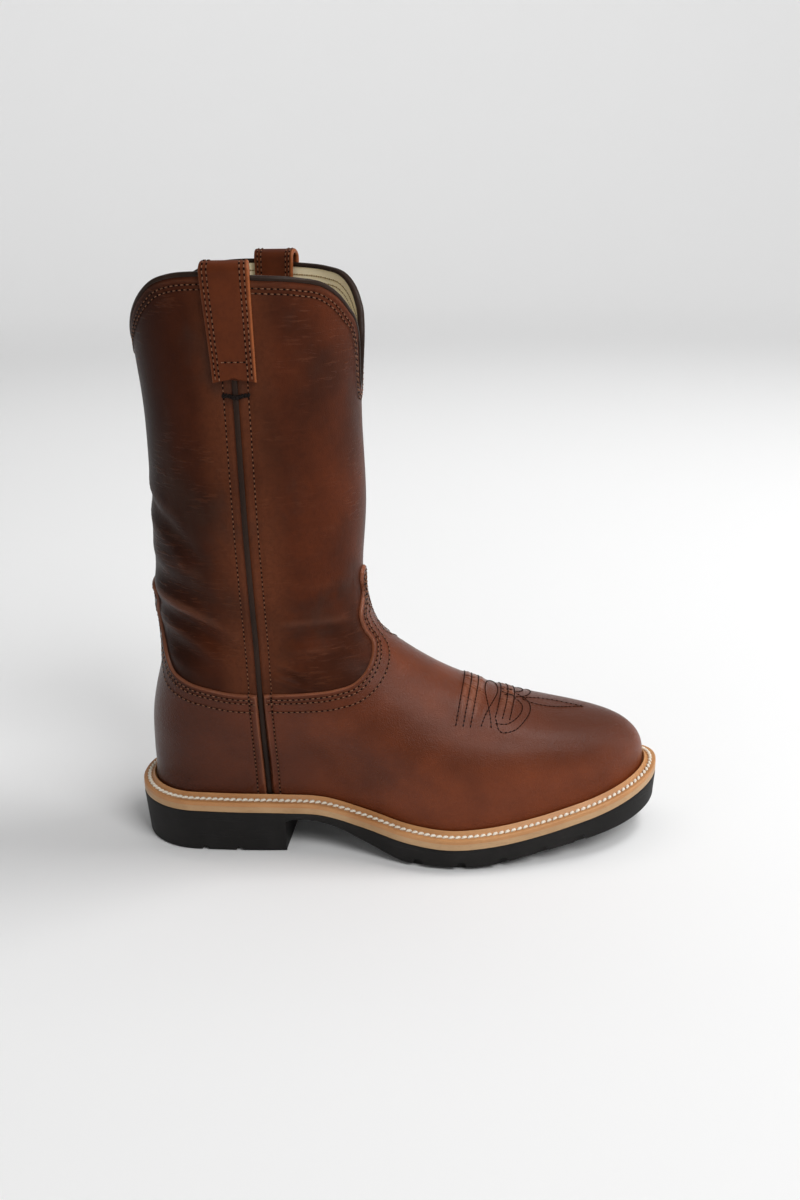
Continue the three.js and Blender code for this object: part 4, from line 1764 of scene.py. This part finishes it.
@dataclass
class SideSeam:
    """Piping and its stitch rows down one side."""

    form: UpperForm
    side: Side
    row_gap: float = 6.3

    @property
    def strap_foot(self) -> float:
        """Height of the pull strap's lower end."""
        s = self.form.sizes
        top = self.form.ankle + s.shaft_height + s.strap_rise
        return top - s.strap_thickness - s.strap_leg

    def line(self, shift: float, count: int, low: float = 0.0) -> tuple[Array, Array]:
        """Section numbers and turns down the seam.

        Args:
            shift: How far in front of the seam, in millimetres.
            count: How many places.
            low: First section number.

        Returns:
            Section numbers and turns.
        """
        form = self.form
        x = form.sizes.seam + shift
        top, _ = form.locate(np.array([x]), np.array([self.strap_foot + 2.0]), self.side)
        level = np.linspace(low, float(top[0]), count)
        return level, form.turn_on(level, np.full(count, x), self.side)

    def piping(self, wear: Wardrobe) -> bpy.types.Object:
        """Makes the round cord along the seam."""
        form, s = self.form, self.form.sizes
        count, around = 190, 14
        angle = np.linspace(0, 2 * np.pi, around + 1)
        half = s.piping_width / 2
        level, turn = self.line(0.0, count)
        here = form.skin(level, turn)
        out = form.outward(level, turn)
        ahead = unit(np.gradient(here, axis=0))
        across = unit(np.cross(ahead, out))
        crown = np.where(level < 9.4, 1.95, 1.5)
        crown = np.convolve(np.pad(crown, 6, mode="edge"), np.ones(13) / 13, "valid")
        crown = np.where(level < 1.2, 1.5, crown)

        def lay(station: Array, corner: Array) -> Array:
            """Points of the cord's round section."""
            k = station.astype(int)
            a = angle[corner.astype(int)]
            side = np.cos(a) * half
            lift = crown[k] * 0.5 + np.sin(a) * (crown[k] * 0.5)
            return here[k] + across[k] * side[:, None] + out[k] * (lift + 0.05)[:, None]

        name = f"piping_{self.side.name.lower()}"
        piece = laid_grid(name, np.arange(count * 1.0), np.arange(around + 1.0), lay)
        smoothed(dress(piece, wear.trim), 60)
        node = "piping-outer" if self.side is Side.OUTER else "piping-inner"
        return settle(piece, [node])

    def stitches(self, wear: Wardrobe) -> bpy.types.Object:
        """Sews a row on each side of the cord."""
        form, s = self.form, self.form.sizes
        run = StitchRun(f"seam_stitches_{self.side.name.lower()}", StitchKind(2.7, 1.35, 0.6, 0.45))
        for sign in (-1, 1):
            level, turn = self.line(sign * self.row_gap, 400, 0.1)
            over = np.where(level < 9.3, s.overlay + s.clearance, 0.0) + 0.1
            points = form.skin(level, turn, over)
            run.along(points, form.outward(level, turn))
        return settle(dress(run.build(), wear.brown_thread, wear.hole))


@dataclass
class Overlay:
    """Vamp or counter: a panel over the foot with a rolled upper edge."""

    form: UpperForm
    panel: Panel
    strip: float = 6.0
    half_columns: int = 185

    def __post_init__(self) -> None:
        """Works out the turns of the panel's edges by the side seams, on both sides."""
        self.levels = np.linspace(0, self.form.top, 321)
        x = np.full_like(self.levels, self._boundary())
        self.limits = [self.form.turn_on(self.levels, x, side) for side in Side]

    def _boundary(self) -> float:
        """Place along the foot of the panel's edges by the side seams."""
        s = self.form.sizes
        return s.seam + self.panel.value * s.seam_gap

    def _limit(self, level: Array, side: Side) -> Array:
        """Turns from the front to the panel's edge by one side's seam."""
        turn = np.interp(level, self.levels, self.limits[0 if side is Side.OUTER else 1])
        return turn if side is Side.OUTER else 1 - turn

    def _to_share(self, level: Array, turn: Array, side: Side) -> Array:
        """Turns as shares of the way from the panel's middle line, 0, to its seam edge, 1."""
        limit = self._limit(level, side)
        near = np.mod(turn, 1)
        near = near if side is Side.OUTER else 1 - near
        if self.panel is Panel.VAMP:
            return np.where(near > 0.5, near - 1, near) / limit
        return (0.5 - near) / (0.5 - limit)

    def _to_turn(self, level: Array, share: Array) -> Array:
        """Turns of signed shares, negative on the outer side."""
        limit = np.where(
            share < 0, self._limit(level, Side.OUTER), self._limit(level, Side.INNER)
        )
        if self.panel is Panel.VAMP:
            return np.mod(-share * limit, 1)
        return 0.5 + share * (0.5 - limit)

    def _edge(self, side: Side, count: int) -> Array:
        """Section numbers and shares of the upper edge, from the seam to the peak."""
        s = self.form.sizes
        rows = VAMP_EDGE if self.panel is Panel.VAMP else COUNTER_EDGE
        curve = curve_through(rows, 260)
        x = self._boundary() + self.panel.value * curve[:, 0] * s.instep_height
        z = self.form.ankle + (curve[:, 1] - 1) * s.instep_height
        level, turn = self.form.locate(x, z, side)
        share = self._to_share(level, turn, side)
        past = np.flatnonzero(share < 0.004)
        last = past[0] if len(past) else len(share) - 1
        level, share = level[: last + 1], share[: last + 1].copy()
        share[-1] = 0.0
        points = self.form.point(level, self._to_turn(level, share * side.value))
        return resample(points, np.column_stack([level, share]), count)

    def lines(self) -> tuple[Array, Array, Array]:
        """The panel's ribs from its foot to its upper edge.

        Returns:
            Edge, strip and foot, each rows of section number and signed share.
        """
        n = self.half_columns
        outer = self._edge(Side.OUTER, n)
        inner = self._edge(Side.INNER, n)
        outer[:, 1] *= -1
        edge = np.concatenate([outer, inner[-2::-1]])
        points = self.form.point(edge[:, 0], self._to_turn(edge[:, 0], edge[:, 1]))
        out = self.form.outward(edge[:, 0], self._to_turn(edge[:, 0], edge[:, 1]))
        ahead = unit(np.gradient(points, axis=0))
        for _ in range(6):
            ahead[1:-1] = (ahead[:-2] + ahead[1:-1] * 2 + ahead[2:]) / 4
        inward = unit(np.cross(ahead, out))
        middle = len(points) // 2
        if inward[middle, 2] > 0:
            inward = -inward
        self.inward, self.edge_points, self.edge_out = inward, points, out
        level, turn = self.form.find(points + inward * self.strip)
        near = np.mod(turn, 1)
        share = np.where(
            edge[:, 1] < 0,
            -self._to_share(level, near, Side.OUTER),
            self._to_share(level, near, Side.INNER),
        )
        share[0], share[-1] = -1.0, 1.0
        share = np.clip(share, -1, 1)
        strip = np.column_stack([level, share])
        fine = np.linspace(-1, 1, 900)
        foot_level = np.full_like(fine, 0.0)
        foot_points = self.form.point(foot_level, self._to_turn(foot_level, fine))
        foot = resample(foot_points, np.column_stack([foot_level, fine]), len(edge))
        return edge, strip, foot

    def build(self, wear: Wardrobe) -> bpy.types.Object:
        """Makes the panel.

        Args:
            wear: The boot's finishes.

        Returns:
            The dressed piece.
        """
        form, s = self.form, self.form.sizes
        edge, strip, foot = self.lines()
        n = len(edge)
        lengths = np.array([0, 0.12, 0.3, 0.55, 0.85, 1.2, 1.65, 2.2, 2.9, 3.7, 4.6, 5.3, 6.0])
        body = np.linspace(0, 1, 150)
        self.count = n
        near_edge = 1 + (1 - lengths[::-1] / self.strip)
        outer_rows = np.concatenate([body[:-1], near_edge])
        inner_rows = np.concatenate([[3.0], 3.1 + 0.9 * np.linspace(0, 1, 40)])
        rows = np.concatenate([outer_rows, inner_rows, [5.0]])
        thick = s.overlay

        def sheet(column: Array, row: Array) -> tuple[Array, Array, Array]:
            """Section numbers, turns and distances from the panel's rim."""
            k = np.rint(column).astype(int)
            up = np.clip(row, 0, 1)[:, None]
            over = np.clip(row - 1, 0, 1)[:, None]
            low = foot[k] + (strip[k] - foot[k]) * up
            place = low + (edge[k] - strip[k]) * over
            level, share = place.T
            turn = self._to_turn(level, share)
            rim = np.where(row >= 1, (2 - np.minimum(row, 2)) * self.strip, self.strip)
            side = np.abs(form.point(level, turn)[:, 0] - self._boundary())
            return level, turn, np.minimum(rim, side)

        def lay(column: Array, row: Array) -> Array:
            """Points of the panel's outside, then of its back."""
            back = (row >= 3) & (row < 5)
            turned = np.where(row == 3.0, 2.0, (4.0 - row) / 0.9)
            level, turn, rim = sheet(column, np.where(back, turned, np.where(row >= 5, 0, row)))
            t = np.clip(rim / thick, 0, 1)
            height = thick * np.sqrt(np.maximum(1 - (1 - t) ** 2, 0))
            bulge = 0.2 * np.exp(-(((rim - 1.1) / 0.7) ** 2)) - 0.2 * np.exp(
                -(((rim - 3.6) / 1.6) ** 2)
            )
            height = height + bulge * smooth(0.0, 1.0, rim)
            return form.skin(level, turn, np.where(back, 0.12, 0.15 + height))

        def tone(column: Array, row: Array) -> Array:
            """Wear: pale on the rolled edge and on ridges; negative in fold troughs, which the
            material darkens as painted shade.
            """
            level, turn, rim = sheet(column, np.clip(row, 0, 2))
            relief = form.relief(form.point(np.maximum(level, 1), turn))
            rolled = 1.1 * np.exp(-(((rim - 0.4) / 0.55) ** 2))
            return np.clip(relief / 1.7, -1, 1) + rolled

        name = self.panel.name.lower()
        piece = laid_grid(f"{name}_leather", np.arange(n * 1.0), rows, lay, {"wear": tone})
        smoothed(dress(piece, wear.vamp), 60)
        return settle(piece, [name])

    def row(self, distance: float, lift: float = 0.12) -> tuple[Array, Array]:
        """A line on the panel beside its upper edge.

        Args:
            distance: How far inside the edge, in millimetres.
            lift: How far above the leather, in millimetres.

        Returns:
            Points and outward vectors.
        """
        level, turn = self.form.find(self.edge_points + self.inward * distance)
        s = self.form.sizes
        points = self.form.skin(level, turn, s.overlay + s.clearance + lift)
        out = self.form.outward(level, turn)
        inside = self.panel.value * (points[:, 0] - self._boundary()) > 1.2
        return points[inside], out[inside]

    def stitches(self, wear: Wardrobe) -> bpy.types.Object:
        """Sews two rows under the edge and a third below them."""
        run = StitchRun(f"{self.panel.name.lower()}_stitches", StitchKind())
        for distance, shift in ((2.9, 0.0), (5.1, 0.9), (10.4, 0.0)):
            points, out = self.row(distance)
            run.along(points, out, shift)
        return settle(dress(run.build(), wear.brown_thread, wear.hole))


@dataclass
class PullStrap:
    """Leather loop over the collar on one side."""

    form: UpperForm
    side: Side

    def __post_init__(self) -> None:
        """Works out the strap's path: up outside, over the collar, down inside."""
        s = self.form.sizes
        self.half = s.strap_thickness / 2
        self.over = 3 * s.clearance + s.binding_thickness
        self.foot = SideSeam(self.form, self.side).strap_foot
        bend = s.wall / 2 + self.over + self.half
        top = self.form.ankle + s.shaft_height + s.strap_rise
        self.spring = top - self.half - bend
        leg = np.linspace(self.foot, self.spring, 46)
        arch = np.linspace(0, np.pi, 26)[1:-1]
        self.z = np.concatenate([leg, np.full(len(arch), self.spring), leg[::-1]])
        self.bend = np.concatenate([np.zeros(len(leg)), arch, np.full(len(leg), np.pi)])

    def surface(self, station: Array, share: Array, shift: Array) -> Array:
        """Points of the strap.

        Args:
            station: Station numbers along the path.
            share: Shares across its width, from -0.5 to 0.5.
            shift: Distances out of its middle, in millimetres.

        Returns:
            The points, n by 3.
        """
        form, s = self.form, self.form.sizes
        k = np.arange(len(self.z))
        z, bend = np.interp(station, k, self.z), np.interp(station, k, self.bend)
        leg = (z - self.foot) / (self.spring - self.foot)
        tip = np.exp(-((np.minimum(station, k[-1] - station) / 2.6) ** 2))
        z = z + tip * (2.4 * np.exp(-((share / 0.13) ** 2)) - 0.5 * np.cos(4 * np.pi * share))
        lift = s.clearance + (self.over - s.clearance) * np.minimum(leg / 0.8, 1) ** 2
        radius = s.wall / 2 + lift + self.half
        spread = s.strap_width * (0.9 + 0.1 * leg)
        x = s.seam + self.side.value * s.strap_width * leg / 16 + share * spread
        level, turn = form.locate(x, z, self.side)
        out = form.outward(level, turn)
        middle = form.point(level, turn) - out * (s.wall / 2)
        out[:, 2] = 0
        out = unit(out)
        reach = (radius + shift)[:, None]
        up = np.array([0.0, 0.0, 1.0])
        return middle + out * np.cos(bend)[:, None] * reach + up * np.sin(bend)[:, None] * reach

    def build(self, wear: Wardrobe) -> bpy.types.Object:
        """Makes the strap with its burnished round edges."""
        width = self.form.sizes.strap_width
        across = np.linspace(-1, 1, 17)
        round_ = 1.0
        top = [(a * (width / 2 - round_), self.half) for a in across]
        side = [
            (width / 2 - round_ + round_ * math.sin(a), self.half * math.cos(a))
            for a in np.linspace(0, math.pi, 9)[1:-1]
        ]
        ring = [*top, *side, *[(-a, -b) for a, b in top], *[(-a, -b) for a, b in side]]
        corners = np.array([*ring, ring[0]])

        def lay(station: Array, corner: Array) -> Array:
            """Points of the strap's section."""
            along, shift = corners[corner.astype(int)].T
            crown = 0.16 * np.exp(-(((width / 2 - np.abs(along) - 1.4) / 1.0) ** 2))
            return self.surface(station, along / width, shift + np.sign(shift) * crown)

        def tone(station: Array, corner: Array) -> Array:
            """Wear: pale along both burnished edges, with a painted highlight making the front edge
            paler than the back.
            """
            along, _ = corners[corner.astype(int)].T
            # Painted highlight: the front edge gets more of the pale colour than the back edge.
            pale_share_with_painted_light = np.where(along > 0, 0.95, 0.5)
            return smooth(width / 2 - 1.7, width / 2 - 0.4, np.abs(along)) * pale_share_with_painted_light

        name = f"pull_strap_{self.side.name.lower()}"
        stations = np.arange(len(self.z) * 1.0)
        piece = laid_grid(name, stations, np.arange(len(corners) * 1.0), lay, {"wear": tone})
        smoothed(dress(piece, wear.strap), 60)
        node = "pull-strap-outer" if self.side is Side.OUTER else "pull-strap-inner"
        return settle(piece, [node])

    def stitches(self, wear: Wardrobe) -> bpy.types.Object:
        """Sews two rows along each edge and one across the foot."""
        width = self.form.sizes.strap_width
        run = StitchRun(f"strap_stitches_{self.side.name.lower()}", StitchKind(2.8, 1.7, 0.6, 0.5))
        stations = np.linspace(0.6, len(self.z) - 1.6, 500)
        for sign in (-1, 1):
            for inset, shift in ((2.2, 0.0), (4.3, 0.9)):
                share = np.full(len(stations), sign * (0.5 - inset / width))
                self._sew(run, stations, share, shift)
        share = np.linspace(-0.5 + 5.4 / width, 0.5 - 5.4 / width, 60)
        self._sew(run, np.full(len(share), 8.2), share, 0.0)
        return settle(dress(run.build(), wear.brown_thread, wear.hole))

    def bar_tack(self, wear: Wardrobe) -> bpy.types.Object:
        """Sews a thick dark bar over the piping just under the strap."""
        form = self.form
        s = form.sizes
        x = s.seam + np.linspace(-7.0, 7.0, 60)
        z = np.full(60, self.foot - 7.5) + 0.4 * np.sin(np.linspace(0, 9, 60))
        level, turn = form.locate(x, z, self.side)
        lift = 0.35 + 1.9 * np.exp(-(((x - s.seam) / 1.9) ** 4))
        points = form.skin(level, turn, lift)
        kind = StitchKind(1.5, 2.0, 2.3, 1.6, 0.0, 0.35, 0.0)
        run = StitchRun(f"bar_tack_{self.side.name.lower()}", kind)
        run.along(points, form.outward(level, turn))
        return settle(dress(run.build(), wear.black_thread))

    def _sew(self, run: StitchRun, stations: Array, share: Array, shift: float) -> None:
        """Sews a line on the strap's outer face."""
        face = self.surface(stations, share, np.full(len(stations), self.half + 0.12))
        under = self.surface(stations, share, np.full(len(stations), self.half - 1.0))
        run.along(face, unit(face - under), shift)


# Folds of the leather: line, depth, half width, shoulder
FOLDS = [
    Fold(((-133, -8, 207), (-124, -30, 199), (-113, -40, 192), (-100, -45, 180)), 1.7, 4.6),
    Fold(((-134, -10, 168), (-121, -32, 162), (-104, -44, 158), (-84, -46, 150)), 1.8, 6.0),
    Fold(((-134, -10, 147), (-114, -35, 140), (-99, -41, 134), (-80, -43, 121)), 1.8, 5.0),
    Fold(((-126, -24, 128), (-108, -38, 122), (-90, -41, 112)), 1.26, 5.0),
    Fold(((-63, -42, 114), (-54, -41, 110), (-44, -40, 106)), 1.4, 2.2),
    Fold(((-58, -43, 132), (-42, -37, 133), (-24, -25, 130)), 1.68, 4.5),
    Fold(((-62, -44, 156), (-45, -42, 150), (-28, -32, 149), (-20, -14, 154)), 1.26, 6.0),
    Fold(((-48, -47, 196), (-36, -40, 193), (-27, -32, 193), (-20, -22, 195)), -0.5, 1.2, -0.4),
    Fold(((-55, -47, 181), (-44, -43, 179), (-36, -38, 180), (-24, -27, 187)), -0.5, 1.2, -0.4),
    Fold(((-45, -42, 170), (-35, -36, 172), (-25, -28, 180)), -0.45, 1.1, -0.4),
    Fold(((-50, -46, 206), (-34, -40, 203), (-20, -20, 205)), 0.5, 4.5),
    Fold(((-134, 8, 195), (-124, 32, 190), (-102, 45, 176)), 1.96, 6.0),
    Fold(((-134, 10, 160), (-116, 38, 152), (-80, 46, 140)), 2.24, 7.0),
    Fold(((-120, 34, 130), (-98, 42, 120), (-78, 42, 108)), 1.54, 5.5),
    Fold(((-58, 43, 134), (-40, 38, 129), (-24, 26, 126)), 1.68, 5.0),
    Fold(((-52, 47, 190), (-36, 42, 182), (-20, 20, 186)), 0.6, 3.0),
]


@dataclass
class ToeBug:
    """Traditional stitched toe ornament with its corded ridges."""

    form: UpperForm

    ROWS = (38.6, 42.6, 46.6)
    SECOND_ROWS = (60.0, 64.0, 68.0)

    def on_top(self, x: Array, y: Array) -> tuple[Array, Array]:
        """Finds places on top of the foot from their plan.

        Args:
            x: Places along the foot.
            y: Places across it.

        Returns:
            Section numbers and turns.
        """
        level, turn = np.meshgrid(
            np.arange(1.5, 11.5, 0.1), np.arange(-0.34, 0.34, 1 / 500), indexing="ij"
        )
        levels, turn_values = level.ravel(), turn.ravel()
        cloud = self.form.point(levels, turn_values)[:, :2]
        target = np.column_stack([x, y])
        nearest = [int(np.argmin(((cloud - p) ** 2).sum(axis=1))) for p in target]
        a, b = levels[nearest].copy(), turn_values[nearest].copy()
        for _ in range(4):
            here = self.form.point(a, b)[:, :2]
            da = (self.form.point(a + 0.02, b)[:, :2] - here) / 0.02
            db = (self.form.point(a, b + 0.0005)[:, :2] - here) / 0.0005
            miss = target - here
            scale = da[:, 0] * db[:, 1] - da[:, 1] * db[:, 0]
            scale = np.where(np.abs(scale) < 1e-3, 1e-3, scale)
            a = a + (miss[:, 0] * db[:, 1] - miss[:, 1] * db[:, 0]) / scale
            b = b + (da[:, 0] * miss[:, 1] - da[:, 1] * miss[:, 0]) / scale
        return a, b

    def middle(self, x: Array | float) -> Array:
        """The ornament's middle line, which follows the toe inwards."""
        return 3.0 + (np.asarray(x) - 38.0) * 0.19

    def _row(self, x: float, reach: float, bow: float = 2.2) -> Array:
        """A stitched row across the foot, bowed back at its ends."""
        across = np.linspace(-1, 1, 70)
        back = x - bow * across**2
        return np.column_stack([back, self.middle(back) + across * reach])

    def lines(self) -> list[Array]:
        """The ornament's stitch lines in plan, rows of x and y."""
        made = [self._row(x, 34) for x in self.ROWS]
        across = np.linspace(-1, 1, 80)
        wave = 3.7 * np.cos(np.pi / 2 * across / 0.64)
        for sign in (-1, 1):
            x = 54.6 + sign * wave - 1.5 * across**2
            made.append(np.column_stack([x, self.middle(x) + across * 33]))
        made += [self._row(x, 27) for x in self.SECOND_ROWS]
        loop = curve_through(
            [(58, 27), (61, 34), (68, 33), (74.5, 25), (77.5, 13), (75, 3), (70, -2), (62, -5)], 90
        )
        inner = curve_through([(57.5, 30), (64, 29.5), (71.5, 21), (72.5, 11), (67, 4), (60, 2)], 60)
        for sign in (-1, 1):
            for line in (loop, inner):
                made.append(
                    np.column_stack([line[:, 0], self.middle(line[:, 0]) + sign * line[:, 1]])
                )
        along = np.linspace(0, 1, 60)
        axis = 7.0 + along * 9.9
        leaf = 5.2 * np.sin(np.pi * along**0.72)
        for sign in (-1, 1):
            made.append(np.column_stack([72.5 + 36.2 * along, axis + sign * leaf]))
        return made

    def ridges(self) -> list[Fold]:
        """Cords raised between the stitched rows."""
        made = []
        for x, reach in ((40.6, 33), (44.6, 33), (48.6, 31), (62.0, 26), (66.0, 25)):
            across = np.linspace(-1, 1, 9)
            back = x - 2.2 * across**2
            level, turn = self.on_top(back, self.middle(back) + across * reach)
            line = tuple(tuple(p) for p in self.form.point(level, turn))
            made.append(Fold(line, -1.25, 1.1, -0.35))
        return made

    def stitches(self, wear: Wardrobe) -> bpy.types.Object:
        """Sews the ornament."""
        s = self.form.sizes
        run = StitchRun("toe_stitches", StitchKind(2.7, 1.65, 0.8, 0.5, 0.15, 0.0, 0.22))
        for line in self.lines():
            level, turn = self.on_top(line[:, 0], line[:, 1])
            points = self.form.skin(level, turn, s.overlay + s.clearance)
            run.along(points, self.form.outward(level, turn))
        return settle(dress(run.build(), wear.dark_thread, wear.hole))


@dataclass
class Studio:
    """Pale seamless floor, soft lights and the camera."""

    eye: tuple[float, float, float] = (75.9105863, -638.577528, 362.808795)
    yaw: float = 0.112813983
    pitch: float = 0.331854865
    roll: float = -0.0202737382
    reach: float = 3.4

    def floor(self) -> bpy.types.Object:
        """Makes a floor that curves up all round into a wall."""
        ring = np.concatenate([np.linspace(0.0, 0.72, 9), np.linspace(0.76, 1.0, 16)])

        def lay(turn: Array, radius: Array) -> Array:
            """Points of the bowl."""
            bend = np.clip((radius - 0.72) / 0.28, 0, 1) * np.pi / 2
            flat = np.minimum(radius, 0.72) * self.reach + 0.28 * self.reach * np.sin(bend)
            rise = 1.1 * (1 - np.cos(bend))
            a = turn * 2 * np.pi
            return np.column_stack([flat * np.cos(a), flat * np.sin(a), rise]) / MM

        deselect()
        piece = laid_grid("studio_floor", turns(96), ring, lay, closed=False)
        if piece.data.polygons[0].normal.z < 0:
            bpy.ops.object.mode_set(mode="EDIT")
            bpy.ops.mesh.select_all(action="SELECT")
            bpy.ops.mesh.flip_normals()
            bpy.ops.object.mode_set(mode="OBJECT")
        piece.data.shade_smooth()
        dress(piece, StudioPaper("studio_paper", (0.9, 0.9, 0.9)).build())
        return piece

    def lamp(
        self,
        name: str,
        place: tuple[float, float, float],
        size: tuple[float, float],
        watts: float,
        aim: tuple[float, float, float] = (0.0, 0.0, 0.14),
    ) -> None:
        """Hangs a soft rectangular light.

        Args:
            name: The light's name.
            place: Where it hangs, in metres.
            size: Its sides in metres.
            watts: Its power.
            aim: The place that it faces.
        """
        data = bpy.data.lights.new(name, "AREA")
        data.shape = "RECTANGLE"
        data.size, data.size_y = size
        data.energy = watts
        lamp = bpy.data.objects.new(name, data)
        bpy.context.scene.collection.objects.link(lamp)
        lamp.location = place
        facing = Vector(aim) - Vector(place)
        lamp.rotation_euler = facing.to_track_quat("-Z", "Y").to_euler()

    def lights(self) -> None:
        """Sets the lights and the soft light of the room."""
        self.lamp("top_light", (0.95, 0.25, 2.1), (0.8, 0.6), 18)
        self.lamp("key_light", (1.2, -1.3, 1.9), (1.1, 1.1), 29)
        self.lamp("side_light", (1.9, 0.3, 0.9), (0.7, 1.4), 8)
        self.lamp("fill_light", (-1.6, -1.2, 1.2), (0.9, 0.9), 1.5)
        self.lamp("backdrop_light", (0.0, 0.9, 2.4), (3.2, 1.6), 34, (0.0, 3.3, 0.7))
        world = bpy.data.worlds.new("room")
        bpy.context.scene.world = world
        world.use_nodes = True
        world.node_tree.nodes["Background"].inputs["Color"].default_value = (1, 1, 1, 1)
        world.node_tree.nodes["Background"].inputs["Strength"].default_value = 0.2

    def camera(self) -> None:
        """Sets the camera as the photograph's stands."""
        cy, sy = math.cos(self.yaw), math.sin(self.yaw)
        cp, sp = math.cos(self.pitch), math.sin(self.pitch)
        forward = Vector((-sy * cp, cy * cp, -sp))
        right = Vector((cy, sy, 0.0))
        up = right.cross(forward)
        c, s = math.cos(self.roll), math.sin(self.roll)
        turned_right = right * c + up * s
        turned_up = up * c - right * s
        data = bpy.data.cameras.new("camera")
        data.lens = 36.0
        data.sensor_width = 36.0
        data.sensor_fit = "AUTO"
        data.clip_start, data.clip_end = 0.01, 50.0
        camera = bpy.data.objects.new("camera", data)
        bpy.context.scene.collection.objects.link(camera)
        turn = Matrix((turned_right, turned_up, -forward)).transposed()
        camera.matrix_world = Matrix.Translation(Vector(self.eye) * MM) @ turn.to_4x4()
        bpy.context.scene.camera = camera
        bpy.context.scene.view_settings.view_transform = "Standard"


def main() -> None:
    """Builds the boot piece by piece and sets the studio."""
    logging.basicConfig(level=logging.INFO, format="%(message)s")
    wear = Wardrobe()
    sole_form = SoleForm(SIZES)
    form = UpperForm(SIZES, sole_form)
    form.folds = list(FOLDS)
    bug = ToeBug(form)
    form.folds += bug.ridges()

    sole = Sole(sole_form)
    sole.outsole(wear)
    sole.midsole(wear)
    sole.welt(wear)
    sole.welt_stitches(wear)
    shaft = Shaft(form)
    shaft.shell(wear)
    shaft.lining(wear)
    shaft.binding(wear)
    shaft.collar_stitches(wear)
    for side in Side:
        seam = SideSeam(form, side)
        seam.piping(wear)
        seam.stitches(wear)
        strap = PullStrap(form, side)
        strap.build(wear)
        strap.stitches(wear)
        strap.bar_tack(wear)
    for panel in Panel:
        overlay = Overlay(form, panel)
        overlay.build(wear)
        overlay.stitches(wear)
    bug.stitches(wear)
    dress(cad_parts["insole"], wear.insole)
    studio = Studio()
    studio.floor()
    studio.lights()
    studio.camera()


if __name__ == "__main__":
    main()
